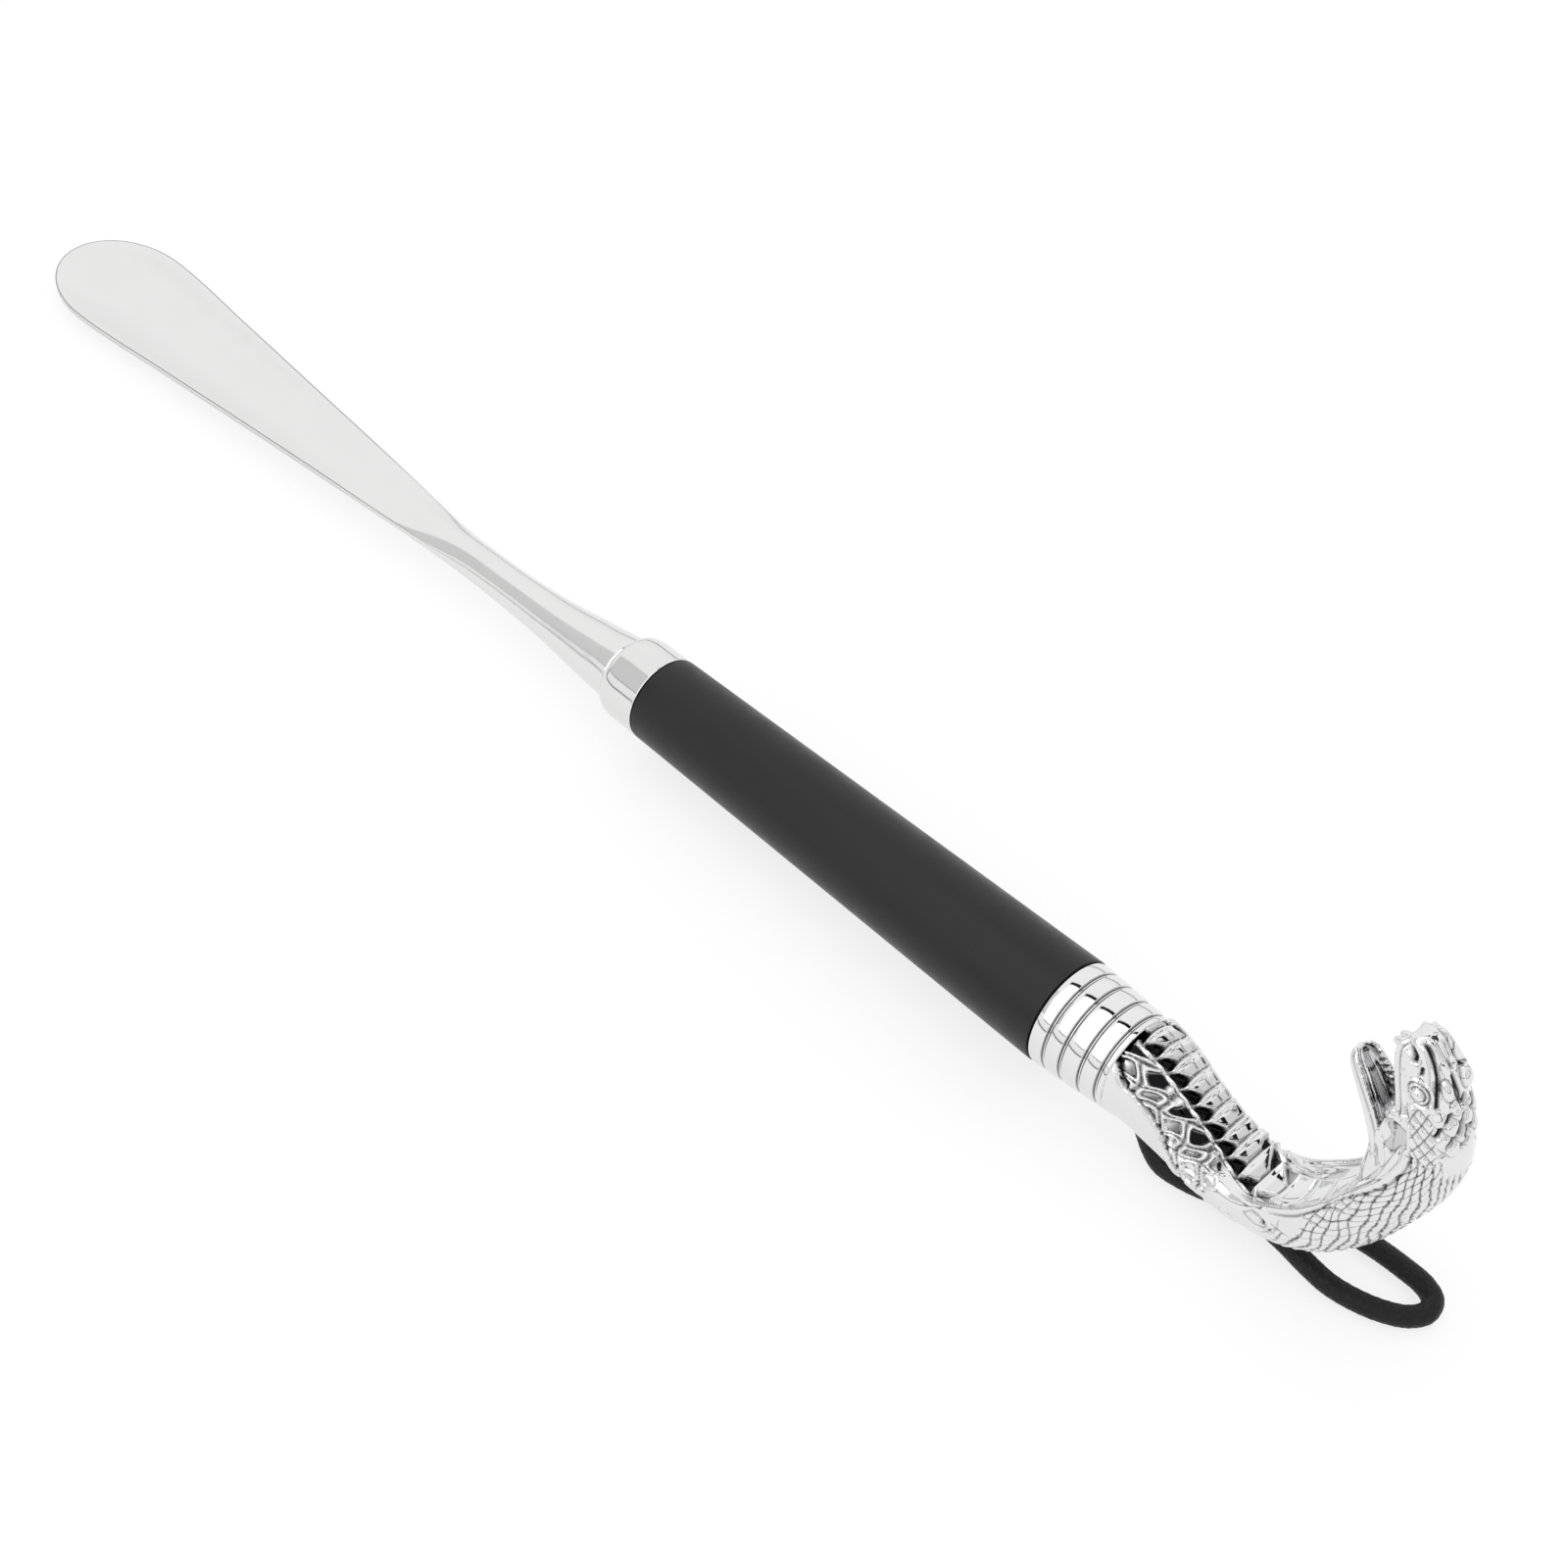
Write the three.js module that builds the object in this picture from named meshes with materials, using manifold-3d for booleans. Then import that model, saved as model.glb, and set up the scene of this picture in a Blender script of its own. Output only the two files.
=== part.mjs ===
// Long shoehorn with a tapered black grip and a cast cobra head.
// Millimetres. The pieces are laid out in the grip's own frame: the grip's axis is X,
// its head end is at x = 0, the blade points to -X and the cobra to +X, with its belly and
// open mouth turned up. The last lines tip that assembly so that it lies on z = 0.

import * as THREE from 'three';
import { mergeVertices } from 'three/addons/utils/BufferGeometryUtils.js';
import Module from 'manifold-3d';

const wasm = await Module();
wasm.setup();

// ---------------------------------------------------------------- driving dimensions

const GRIP_LENGTH = 133;
const GRIP_RADIUS_HEAD = 13.35;
const GRIP_RADIUS_BLADE = 11.2;
const FERRULE_LENGTH = 12.5;
const BLADE_LENGTH = 238.3;
const COLLAR_LENGTH = 20.4;
const COLLAR_BANDS = 4;
const STUD_RADIUS = 3;
const CORD_DIAMETER = 5;
const REST_TILT = THREE.MathUtils.degToRad(1.93);
const GAP = 0.3;

const GRIP_FRONT = -GRIP_LENGTH;
const FERRULE_BACK = GRIP_FRONT - GAP;
const FERRULE_FRONT = FERRULE_BACK - FERRULE_LENGTH;
const BLADE_ROOT = FERRULE_FRONT - GAP;
const COLLAR_BACK = GAP;
const COLLAR_FRONT = COLLAR_BACK + COLLAR_LENGTH;
const CASTING_BACK = COLLAR_FRONT + GAP;

const STUD_IN_METAL = 9;
const STUD_IN_GRIP = 22;
const STUD_CLEARANCE = 0.3;
const STUD_CHAMFER = 0.6;

const ROUND_SIDES = 48;

// ---------------------------------------------------------------- finishes

const finishes = {
  satinNickel: { color: 0xe6e6e4, roughness: 0.32, metalness: 1 },
  polishedNickel: { color: 0xe9e9e8, roughness: 0.12, metalness: 1 },
  chrome: { color: 0xf0f0f0, roughness: 0.05, metalness: 1 },
  blackGrip: { color: 0x3b3b3d, roughness: 0.42, metalness: 0 },
  zincSteel: { color: 0xb9bcbf, roughness: 0.35, metalness: 1 },
  blackCord: { color: 0x1d1d20, roughness: 0.7, metalness: 0 },
};

function piece(name, geometry, finish) {
  const mesh = new THREE.Mesh(geometry, new THREE.MeshStandardMaterial(finishes[finish]));
  mesh.name = name;
  return mesh;
}

// ---------------------------------------------------------------- geometry helpers

// Closed solid from rings of equally many points, capped at both ends.
function loft(rings) {
  const sides = rings[0].length;
  const points = rings.flat();
  const faces = [];
  for (let ring = 0; ring < rings.length - 1; ring++) {
    for (let side = 0; side < sides; side++) {
      const next = (side + 1) % sides;
      const a = ring * sides + side;
      const b = ring * sides + next;
      faces.push(a, b, a + sides, b, b + sides, a + sides);
    }
  }
  addCap(points, faces, rings[0], 0, true);
  addCap(points, faces, rings.at(-1), (rings.length - 1) * sides, false);
  const geometry = new THREE.BufferGeometry().setFromPoints(points);
  geometry.setIndex(faces);
  return faceOutwards(geometry);
}

function addCap(points, faces, ring, start, flipped) {
  const middle = new THREE.Vector3();
  ring.forEach((point) => middle.addScaledVector(point, 1 / ring.length));
  points.push(middle);
  const hub = points.length - 1;
  for (let side = 0; side < ring.length; side++) {
    const a = start + side;
    const b = start + ((side + 1) % ring.length);
    faces.push(hub, flipped ? b : a, flipped ? a : b);
  }
}

// Turns every face over if the enclosed volume comes out negative.
function faceOutwards(geometry) {
  const index = geometry.index.array;
  const at = geometry.attributes.position;
  const corners = [new THREE.Vector3(), new THREE.Vector3(), new THREE.Vector3()];
  let volume = 0;
  for (let face = 0; face < index.length; face += 3) {
    corners.forEach((corner, i) => corner.fromBufferAttribute(at, index[face + i]));
    volume += corners[0].dot(corners[1].clone().cross(corners[2]));
  }
  if (volume < 0) {
    for (let face = 0; face < index.length; face += 3) {
      [index[face + 1], index[face + 2]] = [index[face + 2], index[face + 1]];
    }
  }
  return geometry;
}

// Lathe about the X axis from [x, radius] pairs that start and end on the axis.
function turned(profile, sides = ROUND_SIDES) {
  const outline = profile.map(([x, radius]) => new THREE.Vector2(radius, x));
  const geometry = new THREE.LatheGeometry(outline, sides);
  return faceOutwards(geometry.rotateZ(-Math.PI / 2));
}

// Lathe about the X axis from an [x, radius] outline that closes on itself.
function turnedRing(profile, sides = ROUND_SIDES) {
  return turned([...profile, profile[0]], sides);
}

function toManifold(geometry) {
  const bare = new THREE.BufferGeometry();
  bare.setAttribute('position', geometry.attributes.position.clone());
  if (geometry.index) {
    bare.setIndex(geometry.index.clone());
  }
  const merged = mergeVertices(bare, 1e-4);
  const corners = [...merged.index.array];
  const faces = [];
  for (let i = 0; i < corners.length; i += 3) {
    const [a, b, c] = corners.slice(i, i + 3);
    if (a !== b && b !== c && a !== c) {
      faces.push(a, b, c);
    }
  }
  merged.setIndex(faces);
  faceOutwards(merged);
  return new wasm.Manifold(new wasm.Mesh({
    numProp: 3,
    vertProperties: new Float32Array(merged.attributes.position.array),
    triVerts: new Uint32Array(merged.index.array),
  }));
}

function fromManifold(solid) {
  const mesh = solid.getMesh();
  const geometry = new THREE.BufferGeometry();
  geometry.setAttribute('position', new THREE.BufferAttribute(mesh.vertProperties, 3));
  geometry.setIndex(new THREE.BufferAttribute(mesh.triVerts, 1));
  return geometry;
}

function joined(geometries) {
  return geometries.map(toManifold).reduce((all, next) => all.add(next));
}

// Smooth values between hand-set stations: rows of [position, value, value, ...].
function stationCurve(rows) {
  const positions = rows.map((row) => row[0]);
  const values = rows.flatMap((row) => row.slice(1));
  const curve = new THREE.CubicInterpolant(positions, values, rows[0].length - 1);
  return (position) => [...curve.evaluate(position)];
}

function steps(from, to, count) {
  return Array.from({ length: count + 1 }, (_, i) => THREE.MathUtils.lerp(from, to, i / count));
}

// A cylinder along X that clears a stud, to be cut out of the piece around it.
function studHole(from, to) {
  const radius = STUD_RADIUS + STUD_CLEARANCE;
  return toManifold(turned([[from, 0], [from, radius], [to, radius], [to, 0]], 24));
}

// ---------------------------------------------------------------- blade

const BLADE_WIDEST = 213;
const BLADE_EDGE = 2;
const BLADE_SIDES = 28;
const BLUNT_TIP_WIDTH = 0.04;
const BLUNT_TIP_THICKNESS = 0.35;

// distance from the root: half width, rim height, dish depth, middle thickness, squareness
const bladeSections = stationCurve([
  [0, 8.8, -0.2, 0, 17.6, 1],
  [10, 8.1, -0.7, 0, 15.6, 1],
  [28, 6.3, -1.6, 0, 11.4, 1],
  [46, 5.4, -2.2, 0, 9.6, 1],
  [60, 5.4, -2.4, 0, 8.6, 1],
  [75, 6.2, -2.4, 0.6, 6.6, 0.9],
  [92, 7.6, -2.1, 1.3, 4.6, 0.7],
  [115, 9.4, -1.9, 2.1, 3.1, 0.5],
  [145, 11.8, -1.8, 2.8, 2.3, 0.4],
  [175, 14.3, -1.8, 3.4, BLADE_EDGE, 0.38],
  [BLADE_WIDEST, 17.1, -1.8, 4.0, BLADE_EDGE, 0.38],
]);

function bladeRing(distance) {
  const pastWidest = Math.max(0, (distance - BLADE_WIDEST) / (BLADE_LENGTH - BLADE_WIDEST));
  const rounding = Math.sqrt(Math.max(0, 1 - pastWidest ** 2));
  const [halfWidth, rim, dish, thick, square] = bladeSections(Math.min(distance, BLADE_WIDEST));
  const ring = [];
  for (let side = 0; side < BLADE_SIDES; side++) {
    const angle = (2 * Math.PI * side) / BLADE_SIDES;
    const across = Math.cos(angle);
    const up = Math.sin(angle);
    const y = across * halfWidth * Math.max(rounding, BLUNT_TIP_WIDTH);
    const camber = rim - dish * rounding ** 2 * (1 - across ** 2);
    const half = (thick / 2) * Math.min(1, BLUNT_TIP_THICKNESS + rounding);
    const z = camber + half * Math.sign(up) * Math.abs(up) ** square;
    ring.push(new THREE.Vector3(BLADE_ROOT - distance, y, z));
  }
  return ring;
}

function makeBlade() {
  const straight = steps(0, BLADE_WIDEST, 30);
  const tip = steps(0, Math.PI / 2, 8).slice(1);
  const tipLength = BLADE_LENGTH - BLADE_WIDEST;
  const distances = [...straight, ...tip.map((turn) => BLADE_WIDEST + tipLength * Math.sin(turn))];
  const body = toManifold(loft(distances.map(bladeRing)));
  const shankHole = studHole(BLADE_ROOT - STUD_IN_METAL, BLADE_ROOT + 1);
  return piece('blade', fromManifold(body.subtract(shankHole)), 'satinNickel');
}

// ---------------------------------------------------------------- ferrule, grip and studs

const FERRULE_RADIUS = 11.25;
const FERRULE_SHOULDER = 2;

function makeFerrule() {
  const radius = FERRULE_RADIUS;
  const shoulder = FERRULE_SHOULDER;
  const bore = STUD_RADIUS + STUD_CLEARANCE;
  const rounded = steps(0, Math.PI / 2, 5).map((turn) => [
    FERRULE_FRONT + shoulder * (1 - Math.sin(turn)),
    radius - shoulder * (1 - Math.cos(turn)),
  ]);
  return piece('front_ferrule', turnedRing([
    [FERRULE_FRONT, bore],
    ...rounded.reverse(),
    [FERRULE_BACK, radius],
    [FERRULE_BACK, bore],
  ]), 'polishedNickel');
}

function makeGrip() {
  const edge = 0.3;
  const bore = STUD_RADIUS + STUD_CLEARANCE;
  const pocket = STUD_IN_GRIP + 1;
  const front = GRIP_FRONT;
  return piece('grip', turned([
    [front + pocket, 0],
    [front + pocket, bore],
    [front, bore],
    [front, GRIP_RADIUS_BLADE - edge],
    [front + edge, GRIP_RADIUS_BLADE],
    [-edge, GRIP_RADIUS_HEAD],
    [0, GRIP_RADIUS_HEAD - edge],
    [0, bore],
    [-pocket, bore],
    [-pocket, 0],
  ]), 'blackGrip');
}

// A headless threaded stud, drawn at its outside diameter with the chamfers of its two ends.
function makeStud(name, from, to) {
  const waist = STUD_RADIUS - STUD_CHAMFER;
  return piece(name, turned([
    [from, 0],
    [from, waist],
    [from + STUD_CHAMFER, STUD_RADIUS],
    [to - STUD_CHAMFER, STUD_RADIUS],
    [to, waist],
    [to, 0],
  ], 24), 'zincSteel');
}

function makeFrontStud() {
  return makeStud('front_stud', BLADE_ROOT - STUD_IN_METAL + 1, GRIP_FRONT + STUD_IN_GRIP);
}

function makeRearStud() {
  return makeStud('rear_stud', -STUD_IN_GRIP, CASTING_BACK + STUD_IN_METAL - 1);
}

// ---------------------------------------------------------------- ringed collar

const COLLAR_RADIUS_BACK = 13.3;
const COLLAR_RADIUS_FRONT = 12.0;
const GROOVE_DEPTH = 0.55;
const GROOVE_SHARE = 0.1;
const BAND_CROWN = 0.35;
const ALONG_BAND = [0.04, 0.12, 0.3, 0.5, 0.7, 0.88, 0.96];

// Convex bands side by side, each ending in a narrow groove.
function collarOutline() {
  const pitch = COLLAR_LENGTH / COLLAR_BANDS;
  const outline = [];
  for (let band = 0; band < COLLAR_BANDS; band++) {
    for (const along of ALONG_BAND) {
      const x = (band + along) * pitch;
      const narrowing = (x / COLLAR_LENGTH) ** 1.5;
      const taper = THREE.MathUtils.lerp(COLLAR_RADIUS_BACK, COLLAR_RADIUS_FRONT, narrowing);
      const inGroove = along < GROOVE_SHARE || along > 1 - GROOVE_SHARE;
      const crown = BAND_CROWN * (1 - (2 * along - 1) ** 2);
      outline.push([COLLAR_BACK + x, taper - BAND_CROWN + (inGroove ? -GROOVE_DEPTH : crown)]);
    }
  }
  return outline;
}

function makeCollar() {
  const bore = STUD_RADIUS + STUD_CLEARANCE;
  const outline = collarOutline();
  outline[0][0] = COLLAR_BACK;
  outline.at(-1)[0] = COLLAR_FRONT;
  return piece('ring_collar', turnedRing([
    [COLLAR_BACK, bore],
    ...outline,
    [COLLAR_FRONT, bore],
  ]), 'chrome');
}

// ---------------------------------------------------------------- cobra casting

// Sections along the snake: centre x and z, lean of the spine in degrees, half width, height of
// the widest line, half width and height of the belly rims, height of the belly's middle, depth
// of the back. Heights are measured from the centre towards the belly.
const BODY = [
  [CASTING_BACK, 0, 0, 11.6, 0, 8.2, 8.2, 11.6, 11.6],
  [27, -0.9, -12, 10.9, 0, 7.6, 7.4, 10.0, 10.5],
  [36, -4.5, -18, 10.1, 0, 7.4, 6.2, 8.2, 8.7],
  [46, -7.6, -12, 9.9, 0, 7.4, 4.6, 5.4, 7.6],
  [56, -7.8, 4, 10.3, 0, 7.8, 4.0, 2.8, 6.9],
  [66, -4.6, 24, 10.9, 0.5, 8.2, 5.6, 2.0, 7.0],
  [75, 2.3, 44, 11.2, 1.5, 8.8, 6.0, 3.0, 7.2],
  [82, 12, 58, 11.2, 2, 9.2, 5.8, 4.5, 7.2],
  [86.8, 22.5, 68, 10.9, 2, 9.4, 4.4, 5.5, 7.4],
  [90.8, 33, 75, 10.2, 2, 9.2, 4.0, 5.5, 7.8],
  [93.2, 43, 85, 9, 2, 8.4, 4.0, 4.0, 7.3],
  [93.6, 48, 94, 7, 1, 6, 3.4, 3.4, 5.6],
];
const UPPER_HEAD = [
  [93.6, 41, 94, 8.0, 0, 7.0, 4.6, 4.6, 6.4],
  [92.8, 50, 100, 7.7, 0, 6.0, 5.4, 5.2, 6.1],
  [91, 57.5, 105, 6.9, 0, 5.3, 5.3, 4.6, 5.3],
  [88.5, 63.5, 110, 6.0, 0, 4.6, 4.8, 3.9, 4.6],
  [86, 68.4, 113, 4.7, 0, 3.4, 3.8, 3.0, 3.4],
  [84.9, 71, 115, 2.4, 0, 1.6, 1.8, 1.5, 1.8],
];
// The jaw's rims face the head, so it leans the other way; its sections run from tip to root.
const LOWER_JAW = [
  [72.7, 54.9, -55, 1.9, 0, 1.5, 0.6, 0, 1.3],
  [73.8, 53.4, -57, 3.4, 0, 2.9, 1.1, -0.7, 1.7],
  [76.8, 49.3, -59, 4.2, 0, 3.7, 1.4, -1.0, 2.0],
  [80.4, 43.5, -63, 4.9, 0, 4.4, 1.9, -1.0, 2.3],
  [83.2, 36.6, -72, 5.5, 0, 5.0, 2.6, 0.4, 3.2],
  [84, 28, -82, 6.0, 0, 5.0, 3.8, 3.2, 4.4],
  [84, 18, -85, 6.0, 0, 5.0, 3.5, 3.5, 4.0],
];

// Outline of one section as [across, towards the belly] pairs, with as many points as asked for.
function snakeOutline([halfWidth, widest, rimWidth, rim, belly, back], quarter) {
  const outline = [];
  const shoulderWidth = halfWidth - rimWidth;
  const shoulderHeight = rim - widest;
  for (const t of steps(-1, 1, 2 * quarter).slice(0, -1)) {
    outline.push([rimWidth * t, rim + (belly - rim) * (1 - t * t)]);
  }
  for (const t of steps(0, Math.PI / 2, quarter / 2).slice(0, -1)) {
    outline.push([rimWidth + shoulderWidth * Math.sin(t), widest + shoulderHeight * Math.cos(t)]);
  }
  for (const t of steps(0, Math.PI, 3 * quarter).slice(0, -1)) {
    outline.push([halfWidth * Math.cos(t), widest - (widest + back) * Math.sin(t)]);
  }
  for (const t of steps(Math.PI / 2, 0, quarter / 2).slice(0, -1)) {
    outline.push([-rimWidth - shoulderWidth * Math.sin(t), widest + shoulderHeight * Math.cos(t)]);
  }
  return outline;
}

function snakeLoft(table, ringsPerStation, quarter) {
  const curve = stationCurve(table.map((row, i) => [i, ...row]));
  const rings = steps(0, table.length - 1, (table.length - 1) * ringsPerStation).map((at) => {
    const [x, z, lean, ...section] = curve(at);
    const angle = THREE.MathUtils.degToRad(lean);
    return snakeOutline(section, quarter).map(
      ([y, height]) => new THREE.Vector3(x - height * Math.sin(angle), y, z + height * Math.cos(angle)),
    );
  });
  return loft(rings);
}

// An egg shape of the given radii, tipped in the XZ plane and placed.
function egg([x, y, z], [rx, ry, rz], tipDegrees = 0) {
  const geometry = new THREE.SphereGeometry(1, 12, 8);
  geometry.scale(rx, ry, rz);
  geometry.rotateY(THREE.MathUtils.degToRad(-tipDegrees));
  return geometry.translate(x, y, z);
}

const BELLY_PLATES = 11;
const FIRST_PLATE = 0.55;
const LAST_PLATE = 5.3;
const PLATE_HALF_LENGTH = 2.1;
const PLATE_HALF_WIDTH = 0.72;
const PLATE_HALF_HEIGHT = 1.7;
const PLATE_SINK = 0.9;

// The broad scales across the belly, as low bars between the collar and the hood.
function bellyPlates() {
  const curve = stationCurve(BODY.map((row, i) => [i, ...row]));
  return steps(FIRST_PLATE, LAST_PLATE, BELLY_PLATES - 1).map((at) => {
    const [x, z, lean, , , rimWidth, , belly] = curve(at);
    const angle = THREE.MathUtils.degToRad(lean);
    const height = belly - PLATE_SINK;
    const centre = [x - height * Math.sin(angle), 0, z + height * Math.cos(angle)];
    return egg(centre, [PLATE_HALF_LENGTH, rimWidth * PLATE_HALF_WIDTH, PLATE_HALF_HEIGHT], lean);
  });
}

// Bumps on one side of the head, each as centre, radii and tip in degrees.
const HEAD_BUMPS = {
  eye: [[91.4, 5.6, 61.6], [2.3, 1.7, 2.3], 0],
  brow: [[93.6, 4.6, 60.5], [1.7, 1.9, 5.4], 18],
  crown: [[97.2, 4.3, 54.2], [2.0, 2.2, 2.6], 10],
};
const FANG_PLACE = [80.9, 2.3, 66.8];
const FANG_LENGTH = 4.6;
const FANG_RADIUS = 0.8;
const FANG_LEAN = THREE.MathUtils.degToRad(80);

function headFeatures() {
  const features = [];
  for (const side of [-1, 1]) {
    for (const [[x, y, z], radii, tip] of Object.values(HEAD_BUMPS)) {
      features.push(egg([x, y * side, z], radii, tip));
    }
    features.push(fang(side));
  }
  return features;
}

// A fang under the snout, pointing at the lower jaw.
function fang(side) {
  const [x, y, z] = FANG_PLACE;
  const cone = new THREE.ConeGeometry(FANG_RADIUS, FANG_LENGTH, 10);
  return cone.rotateZ(FANG_LEAN).translate(x, y * side, z);
}

// The cord's two ends are held in slanted blind holes in a boss under the neck.
const HOLE_END = new THREE.Vector2(24, -5.8);
const HOLE_MOUTH = new THREE.Vector2(27.8, -13);
const HOLE_SPACING = 7.2;
const HOLE_CUT = 14;
const BOSS_CENTRE = [26.6, 0, -8];
const BOSS_RADII = [5.6, 8.2, 4.4];

// A point on the axis of the cord holes, as far beyond their blind end as asked for.
function onHoleAxis(distance, y) {
  const along = HOLE_MOUTH.clone().sub(HOLE_END).setLength(distance).add(HOLE_END);
  return new THREE.Vector3(along.x, y, along.y);
}

function cordHole(side) {
  const radius = CORD_DIAMETER / 2 + GAP;
  const hole = new THREE.CylinderGeometry(radius, radius, HOLE_CUT, 20);
  const down = onHoleAxis(1, 0).sub(onHoleAxis(0, 0));
  hole.applyQuaternion(new THREE.Quaternion().setFromUnitVectors(new THREE.Vector3(0, 1, 0), down));
  hole.translate(...onHoleAxis(HOLE_CUT / 2, (side * HOLE_SPACING) / 2));
  return toManifold(hole);
}

function makeCobra() {
  const solid = joined([
    snakeLoft(BODY, 3, 4),
    snakeLoft(UPPER_HEAD, 3, 4),
    snakeLoft(LOWER_JAW, 2, 4),
    egg(BOSS_CENTRE, BOSS_RADII),
    ...bellyPlates(),
    ...headFeatures(),
  ]);
  const bored = solid
    .subtract(studHole(CASTING_BACK - 1, CASTING_BACK + STUD_IN_METAL))
    .subtract(cordHole(-1))
    .subtract(cordHole(1));
  return piece('cobra_head', fromManifold(bored), 'chrome');
}

// ---------------------------------------------------------------- hanging cord

// Where the route lies on the surface, seen from above, from the near hole round to the far one.
const CORD_ON_SURFACE = [
  [34.5, -5.2], [41, -4.4], [49, -1.9], [57, -0.4], [65, -0.6], [73, -1.6], [79, -1.9], [85.5, -0.7],
  [91.2, 1.5], [95.3, 4.3], [97.3, 7.8], [96.3, 11.2], [92.8, 12.8], [87, 13], [80, 12.6], [72, 11.4],
  [63, 9.4], [54, 7.4], [45, 5.7], [35, 4.4],
];
const CORD_BEND = [30.8, -16.3];
const CORD_SPLAY = 1.2;
const DOWN_THE_HOLE = [0.4, 4.5, 8.6];
const CORD_LIFT = 0.1;

// surfaceAt gives the height of the surface at x in the grip's frame.
function cordRoute(surfaceAt) {
  const height = CORD_DIAMETER / 2 + CORD_LIFT;
  const lying = CORD_ON_SURFACE.map(([x, y]) => new THREE.Vector3(x, y, surfaceAt(x) + height));
  const bend = (y) => new THREE.Vector3(CORD_BEND[0], y * CORD_SPLAY, CORD_BEND[1]);
  const drop = (y) => [...DOWN_THE_HOLE.map((distance) => onHoleAxis(distance, y)), bend(y)];
  return [...drop(-HOLE_SPACING / 2), ...lying, ...drop(HOLE_SPACING / 2).reverse()];
}

function cordSection(sides) {
  const corners = Array.from({ length: sides }, (_, side) => {
    const angle = (2 * Math.PI * side) / sides;
    return new THREE.Vector2(Math.cos(angle), Math.sin(angle)).multiplyScalar(CORD_DIAMETER / 2);
  });
  return new THREE.Shape(corners);
}

function makeCord(surfaceAt) {
  const path = new THREE.CatmullRomCurve3(cordRoute(surfaceAt), false, 'centripetal');
  const options = { steps: 56, bevelEnabled: false, extrudePath: path };
  return piece('hanging_cord', new THREE.ExtrudeGeometry(cordSection(10), options), 'blackCord');
}

// ---------------------------------------------------------------- assembly

const assembly = new THREE.Group();
assembly.add(
  makeBlade(),
  makeFerrule(),
  makeFrontStud(),
  makeGrip(),
  makeRearStud(),
  makeCollar(),
  makeCobra(),
);

// Tipped about Y, the assembly lies on the underside of the blade's tip and on the cord.
assembly.rotation.y = -REST_TILT;
const shoehorn = new THREE.Group();
shoehorn.add(assembly);
shoehorn.updateMatrixWorld(true);
const extent = new THREE.Box3().setFromObject(assembly, true);
const surfaceAt = (x) => (extent.min.z - x * Math.sin(REST_TILT)) / Math.cos(REST_TILT);
assembly.add(makeCord(surfaceAt));

// The middle of the rigid pieces' length is over the origin, and the surface is at z = 0.
assembly.position.set(-(extent.min.x + extent.max.x) / 2, 0, -extent.min.z);

export default shoehorn;
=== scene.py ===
"""Long shoehorn with a black grip and a cast cobra head: the visual model.

Shapes are laid out in millimetres in the grip's own frame: the grip's axis is X, its head end is
at x = 0, the blade points to -X and the cobra to +X. TO_ROW carries them to where the CAD lies.
"""

import math

import bmesh
import bpy
import numpy as np
from mathutils import Matrix, Vector, kdtree


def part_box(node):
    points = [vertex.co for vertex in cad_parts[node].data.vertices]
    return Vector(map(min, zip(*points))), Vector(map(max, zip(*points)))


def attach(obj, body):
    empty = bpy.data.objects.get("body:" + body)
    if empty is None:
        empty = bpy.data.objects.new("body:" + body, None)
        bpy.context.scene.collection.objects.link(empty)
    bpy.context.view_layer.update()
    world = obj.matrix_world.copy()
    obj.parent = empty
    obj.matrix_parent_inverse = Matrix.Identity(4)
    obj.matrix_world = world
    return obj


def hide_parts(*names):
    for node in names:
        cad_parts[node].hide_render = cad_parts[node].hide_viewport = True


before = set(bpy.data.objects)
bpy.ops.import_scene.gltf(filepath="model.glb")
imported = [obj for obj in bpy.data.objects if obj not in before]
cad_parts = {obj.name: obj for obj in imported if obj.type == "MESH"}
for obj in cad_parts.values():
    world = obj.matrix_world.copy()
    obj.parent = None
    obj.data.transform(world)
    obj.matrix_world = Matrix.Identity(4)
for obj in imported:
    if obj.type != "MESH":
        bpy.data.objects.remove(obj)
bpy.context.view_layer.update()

MM = 0.001

# ---- where the CAD model lies

# The rear stud's middle, measured along the grip's axis.
REAR_STUD_MIDDLE = 3.5


def middle(node):
    low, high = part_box(node)
    return (Vector(low) + Vector(high)) / 2


def grip_frame():
    """From the grip's own frame to the row's, found from the two studs, which lie on its axis."""
    front, rear = middle("front_stud"), middle("rear_stud")
    tilt = math.atan2(rear.z - front.z, rear.x - front.x)
    shift = Matrix.Translation((-REAR_STUD_MIDDLE * MM, 0, 0))
    return Matrix.Translation(rear) @ Matrix.Rotation(-tilt, 4, "Y") @ shift


TO_ROW = grip_frame()


def to_row(points):
    """Grip-frame millimetres to row metres, for an array of points."""
    turn = np.array(TO_ROW.to_3x3())
    return np.asarray(points, float) * MM @ turn.T + np.array(TO_ROW.translation)


def new_object(name, data):
    """An object that is part of the scene."""
    thing = bpy.data.objects.new(name, data)
    bpy.context.collection.objects.link(thing)
    return thing


# ---- camera

# The camera's place in the grip's frame, its turn about Z, and how steeply it looks down.
LENS_MM = 68.2
CAMERA_AT = (255.87, -328.11, 511.83)
CAMERA_AZIMUTH = math.radians(46.585)
CAMERA_ELEVATION = math.radians(46.834)
NEAREST_SEEN = 0.01


def make_camera():
    data = bpy.data.cameras.new("camera")
    data.lens = LENS_MM
    data.clip_start = NEAREST_SEEN
    camera = new_object("camera", data)
    turn = Matrix.Rotation(CAMERA_AZIMUTH, 4, "Z")
    tip = Matrix.Rotation(math.pi / 2 - CAMERA_ELEVATION, 4, "X")
    camera.matrix_world = TO_ROW @ Matrix.Translation(Vector(CAMERA_AT) * MM) @ turn @ tip
    bpy.context.scene.camera = camera


make_camera()

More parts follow.
